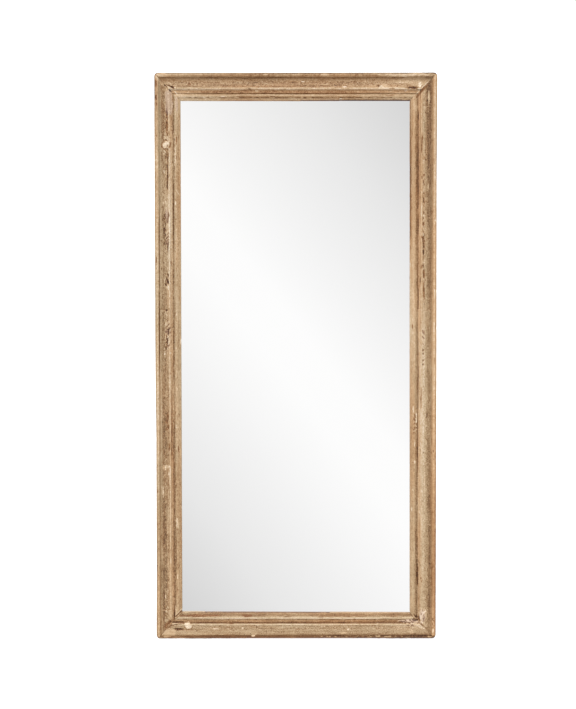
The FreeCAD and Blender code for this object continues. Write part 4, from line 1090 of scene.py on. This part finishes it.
def board(node, lengthwise, wide, edge, seed):
    """A wooden stand piece: arrises rubbed round, slices along it, dents and grain."""
    shape = rounded_copy(node, edge)
    axes = lengthwise, wide, lengthwise.cross(wide)
    spans = [reach([node], axis) for axis in axes]
    slice_up(shape, lengthwise, np.arange(spans[0][0] + 0.01, spans[0][1], 0.02))
    for axis, (low, high) in zip(axes[1:], spans[1:]):
        slice_up(shape, axis, (low + 2.5 * edge, (low + high) / 2, high - 2.5 * edge))
    item = shape_object(node + "_planed", shape, 40)
    mesh = item.data
    room = np.array([tuple(axis) for axis in axes]).T
    points, normals = vertex_numbers(mesh, "co"), vertex_numbers(mesh, "normal")
    grain = points @ room
    flat = np.abs(normals @ room).max(axis=1) > 0.999
    dents = rough_noise(grain[:, 0] * 25, grain[:, 1] * 40 + grain[:, 2] * 30, seed)
    worn = np.where(flat, 0.12 + 0.1 * dents, 0.3 + 0.5 * dents).clip(0, 0.7)
    mesh.vertices.foreach_set("co", (points - normals * worn[:, None] * MM).ravel())
    point_attribute(item, "grain", grain + seed * SEED_STEP)
    point_attribute(item, "edge", (~flat).astype(float))
    stand_in(item, node, planed_wood(*STAND_WOOD))


def easel_stand():
    """The stand's five boards."""
    sideways = Vector((1, 0, 0))
    for seed, name in enumerate(("left_leg", "right_leg"), start=3):
        board(name, STAND_UP, sideways, 0.002, seed)
    for seed, name in enumerate(("top", "middle", "bottom"), start=7):
        board("stand_%s_rail" % name, sideways, STAND_UP, 0.0016, seed)


SCREW_SIDES = 32
HEAD_TURN = 2.4   # from one screw's cross to the next one's


def cross_head_screw(length, head, shank):
    """Rings of points of a countersunk cross-head screw that points into the wood."""
    turns = np.arange(SCREW_SIDES) * 2 * math.pi / SCREW_SIDES
    star = 0.32 + 0.68 * np.abs(np.cos(2 * turns)) ** 6
    cone = head - shank
    rings = [(np.full(SCREW_SIDES, r), z) for r, z in (
        (0.02 * MM, -length), (shank, -length + 2 * shank), (shank, -cone),
        (head - 0.15 * MM, -0.2 * MM), (head, -0.05 * MM), (head - 0.3 * MM, 0.05 * MM))]
    rings += [(star * head * 0.62, 0.12 * MM), (star * head * 0.55, -0.5 * MM),
              (star * head * 0.16, -0.9 * MM)]
    local = [np.stack((radius * np.cos(turns), np.full(SCREW_SIDES, z), radius * np.sin(turns)),
                      axis=1) for radius, z in rings]
    return np.concatenate(local) @ np.array([ACROSS, BACK, UP])


def islands(node):
    """The CAD node's separate solids as arrays of their vertices."""
    shape = bmesh.new()
    shape.from_mesh(frame["nodes"][node].data)
    bmesh.ops.remove_doubles(shape, verts=shape.verts, dist=1e-6)
    waiting, groups = set(shape.verts), []
    while waiting:
        edge, group = [waiting.pop()], []
        while edge:
            here = edge.pop()
            group.append(tuple(here.co))
            for link in here.link_edges:
                other = link.other_vert(here)
                if other in waiting:
                    waiting.remove(other)
                    edge.append(other)
        groups.append(np.array(group))
    shape.free()
    return sorted(groups, key=lambda group: tuple(group.mean(axis=0).round(4)))


def screws(node):
    """Cross-head screws wherever the CAD node has one, each head turned its own way."""
    back, points, faces = np.array(BACK), [], []
    for number, group in enumerate(islands(node)):
        depth = group @ back
        head = group[depth > depth.max() - 1e-5]
        centre = (head.min(axis=0) + head.max(axis=0)) / 2
        length = depth.max() - depth.min()
        wide = np.linalg.norm(head - centre, axis=1).max()
        turn = Matrix.Rotation(number * HEAD_TURN, 3, BACK)
        screw = cross_head_screw(length, wide, wide / 2) @ np.array(turn).T + centre
        start = sum(len(part) for part in points)
        tube = tube_faces(len(screw) // SCREW_SIDES, SCREW_SIDES)
        faces += [[index + start for index in face] for face in tube]
        points.append(screw)
    item = mesh_object(node + "_crossed", np.concatenate(points), faces, 30)
    stand_in(item, node, worn_metal(*BRASS))


def hardware():
    """Plates, straps, bolts, packing and rubber, each with its edges taken off."""
    for corner in ("bottom_left", "bottom_right", "top_left", "top_right"):
        softened("corner_brace_" + corner, 0.0005, worn_metal(*STEEL))
    for hand in ("left", "right"):
        softened(hand + "_pivot_bracket", 0.0005, worn_metal(*STEEL))
        softened(hand + "_hanger_strap", 0.0004, worn_metal(*PLATED))
        softened(hand + "_pivot_bolt", 0.0005, worn_metal(*ZINC))
        softened(hand + "_stop_bolt", 0.0005, worn_metal(*ZINC))
        softened(hand + "_leg_foot_pad", 0.0008, black_rubber())
        softened(hand + "_frame_foot", 0.0006, clear_silicone())
    softened("backing_clips", 0.0003, worn_metal(*PLATED))
    for name in ("pivot_lock_nuts", "stop_lock_nuts", "pivot_spacer_washers",
                 "pivot_head_washers", "stop_bolt_washers"):
        softened(name, 0.0003, worn_metal(*ZINC))
    softened("stand_bumpers", 0.0012, black_rubber())
    softened("backing_board", 0.0007, fibreboard())
    for name in ("corner_brace_screws", "backing_clip_screws", "pivot_bracket_screws",
                 "hanger_screws"):
        screws(name)


def give(material, *nodes):
    """These CAD nodes keep their shape and wear this material."""
    for name in nodes:
        slots = frame["nodes"][name].data.materials
        slots.clear()
        slots.append(material)


# ------------------------------------------------------------------ stage and camera

CAMERA_DISTANCE = 5.5
CAMERA_RISE = math.radians(2.50)   # over the frame's own square-on line
SENSOR = 36.0
LENS = 85.63
SIDE_SHIFT, DOWN_SHIFT = -0.0111, 0.0039
ROLL = math.radians(-0.04)


def camera():
    """Square to the mirror and a little above its square-on line, so the top is wider."""
    data = bpy.data.cameras.new("camera")
    data.lens, data.sensor_width = LENS, SENSOR
    data.shift_x, data.shift_y = SIDE_SHIFT, DOWN_SHIFT
    data.clip_start, data.clip_end = 0.05, 200
    item = linked("camera", data)
    aim = FRAME_AXES @ Vector((0, -GLASS_FRONT, HEIGHT / 2))
    angle = LEAN + CAMERA_RISE
    away = Vector((0, -math.cos(angle), math.sin(angle)))
    item.location = aim + away * CAMERA_DISTANCE
    turn = (-away).to_track_quat("-Z", "Y") @ Quaternion((0, 0, 1), ROLL)
    item.rotation_euler = turn.to_euler()
    bpy.context.scene.camera = item


FLOOR_FRONT, FLOOR_FAR, FLOOR_SIDE = -1.35, 60.0, 30.0
FLOOR_GLOW = 0.95


def floor():
    """A pale floor, lit from below like a light table so that shadows on it stay faint.

    It stops short in front, out of the mirror's sight."""
    points = np.array([(-FLOOR_SIDE, FLOOR_FRONT, 0), (FLOOR_SIDE, FLOOR_FRONT, 0),
                       (FLOOR_SIDE, FLOOR_FAR, 0), (-FLOOR_SIDE, FLOOR_FAR, 0)])
    item = mesh_object("floor", points, [(0, 1, 2, 3)])
    graph = Graph("floor")
    tone = graph.noise(graph.place(), 3.0, 3)
    colour = graph.mix(tone, (0.29, 0.29, 0.29, 1), (0.31, 0.31, 0.31, 1))
    item.data.materials.append(graph.finish(
        Base_Color=colour, Roughness=0.9, Emission_Color=(1.0, 1.0, 1.0, 1.0),
        Emission_Strength=FLOOR_GLOW))


ROOM_LEVEL, WORLD_FILL = 1.06, 0.755   # the room as seen, and what it adds to matt things
SUN_STRENGTH = 2.9
SUN_HEIGHT = math.radians(50)
SUN_SIZE = math.radians(38)
SUN_ASIDE = -0.05
SLANT_ACROSS, SLANT_UP = 0.784, 0.620   # the way that the wall shades
WALL_REACH, WALL_EDGE = 0.30, (0.80, 0.95)
WALL_TONES = (
    # (place across the slant, tone)
    (0.00, 0.50), (0.25, 0.66), (0.335, 0.83), (0.433, 0.96), (0.48, 1.01), (0.52, 1.01),
    (0.567, 0.95), (0.66, 0.83), (0.75, 0.68), (1.00, 0.54),
)


def studio_world():
    """A white room whose wall facing the mirror shades away from a bright diagonal."""
    world = bpy.data.worlds.new("studio")
    bpy.context.scene.world = world
    world.use_nodes = True
    graph = Graph.__new__(Graph)
    graph.tree = world.node_tree
    toward = graph.node("TexCoord").outputs["Generated"]
    angle = LEAN - CAMERA_RISE
    middle = Vector((0, -math.cos(angle), math.sin(angle)))
    right, rise = Vector((1, 0, 0)), Vector((0, math.sin(angle), math.cos(angle)))
    slant = (right * SLANT_ACROSS + rise * SLANT_UP).normalized()
    offset = graph.node("VectorMath", {0: toward, 1: slant}, operation="DOT_PRODUCT")
    away = graph.maths("SUBTRACT", offset.outputs["Value"], slant.dot(middle))
    facing = graph.node("VectorMath", {0: toward, 1: middle}, operation="DOT_PRODUCT")
    wall = graph.ramp(graph.fade(away, -WALL_REACH, WALL_REACH),
                      [(place, (tone, tone, tone)) for place, tone in WALL_TONES])
    in_front = graph.fade(facing.outputs["Value"], *WALL_EDGE)
    colour = graph.mix(in_front, (ROOM_LEVEL, ROOM_LEVEL, ROOM_LEVEL, 1), wall)
    path = graph.node("LightPath")
    fill = graph.maths("MULTIPLY", path.outputs["Is Diffuse Ray"], WORLD_FILL - 1.0)
    ground = world.node_tree.nodes["Background"]
    graph.feed(ground.inputs["Color"], colour)
    graph.feed(ground.inputs["Strength"], graph.maths("ADD", fill, 1.0))


def sun():
    """One broad soft light from above and in front."""
    data = bpy.data.lights.new("softbox", "SUN")
    data.energy, data.angle = SUN_STRENGTH, SUN_SIZE
    item = linked("softbox", data)
    source = Vector((SUN_ASIDE, -math.cos(SUN_HEIGHT), math.sin(SUN_HEIGHT)))
    item.rotation_euler = source.to_track_quat("Z", "Y").to_euler()


# ------------------------------------------------------------------ build

def worn_frame():
    """The four rails, each a quarter turn from the last."""
    wide, high = WIDTH / MM, HEIGHT / MM
    half_wide, half_high = WIDTH / 2, HEIGHT / 2
    build_rail("frame_bottom_rail", wide, 0, (0, 0, 0), 11, 1)
    build_rail("frame_top_rail", wide, math.pi, (0, 0, HEIGHT), 23, -1)
    build_rail("frame_right_stile", high, -math.pi / 2, (half_wide, 0, half_high), 37, -1)
    build_rail("frame_left_stile", high, math.pi / 2, (-half_wide, 0, half_high), 53, 1)


worn_frame()
easel_stand()
hardware()
give(silvered_glass(), "mirror_glass")
give(kraft_card(), "cardboard_liner")
give(planed_wood(*SPLINE_WOOD), "mitre_splines")
give(black_rubber(), "glass_setting_blocks", "glass_edge_spacers")
give(worn_metal(*PLATED), "left_hanger_ring", "right_hanger_ring")
camera()
floor()
studio_world()
sun()
bpy.context.scene.view_settings.view_transform = "Standard"
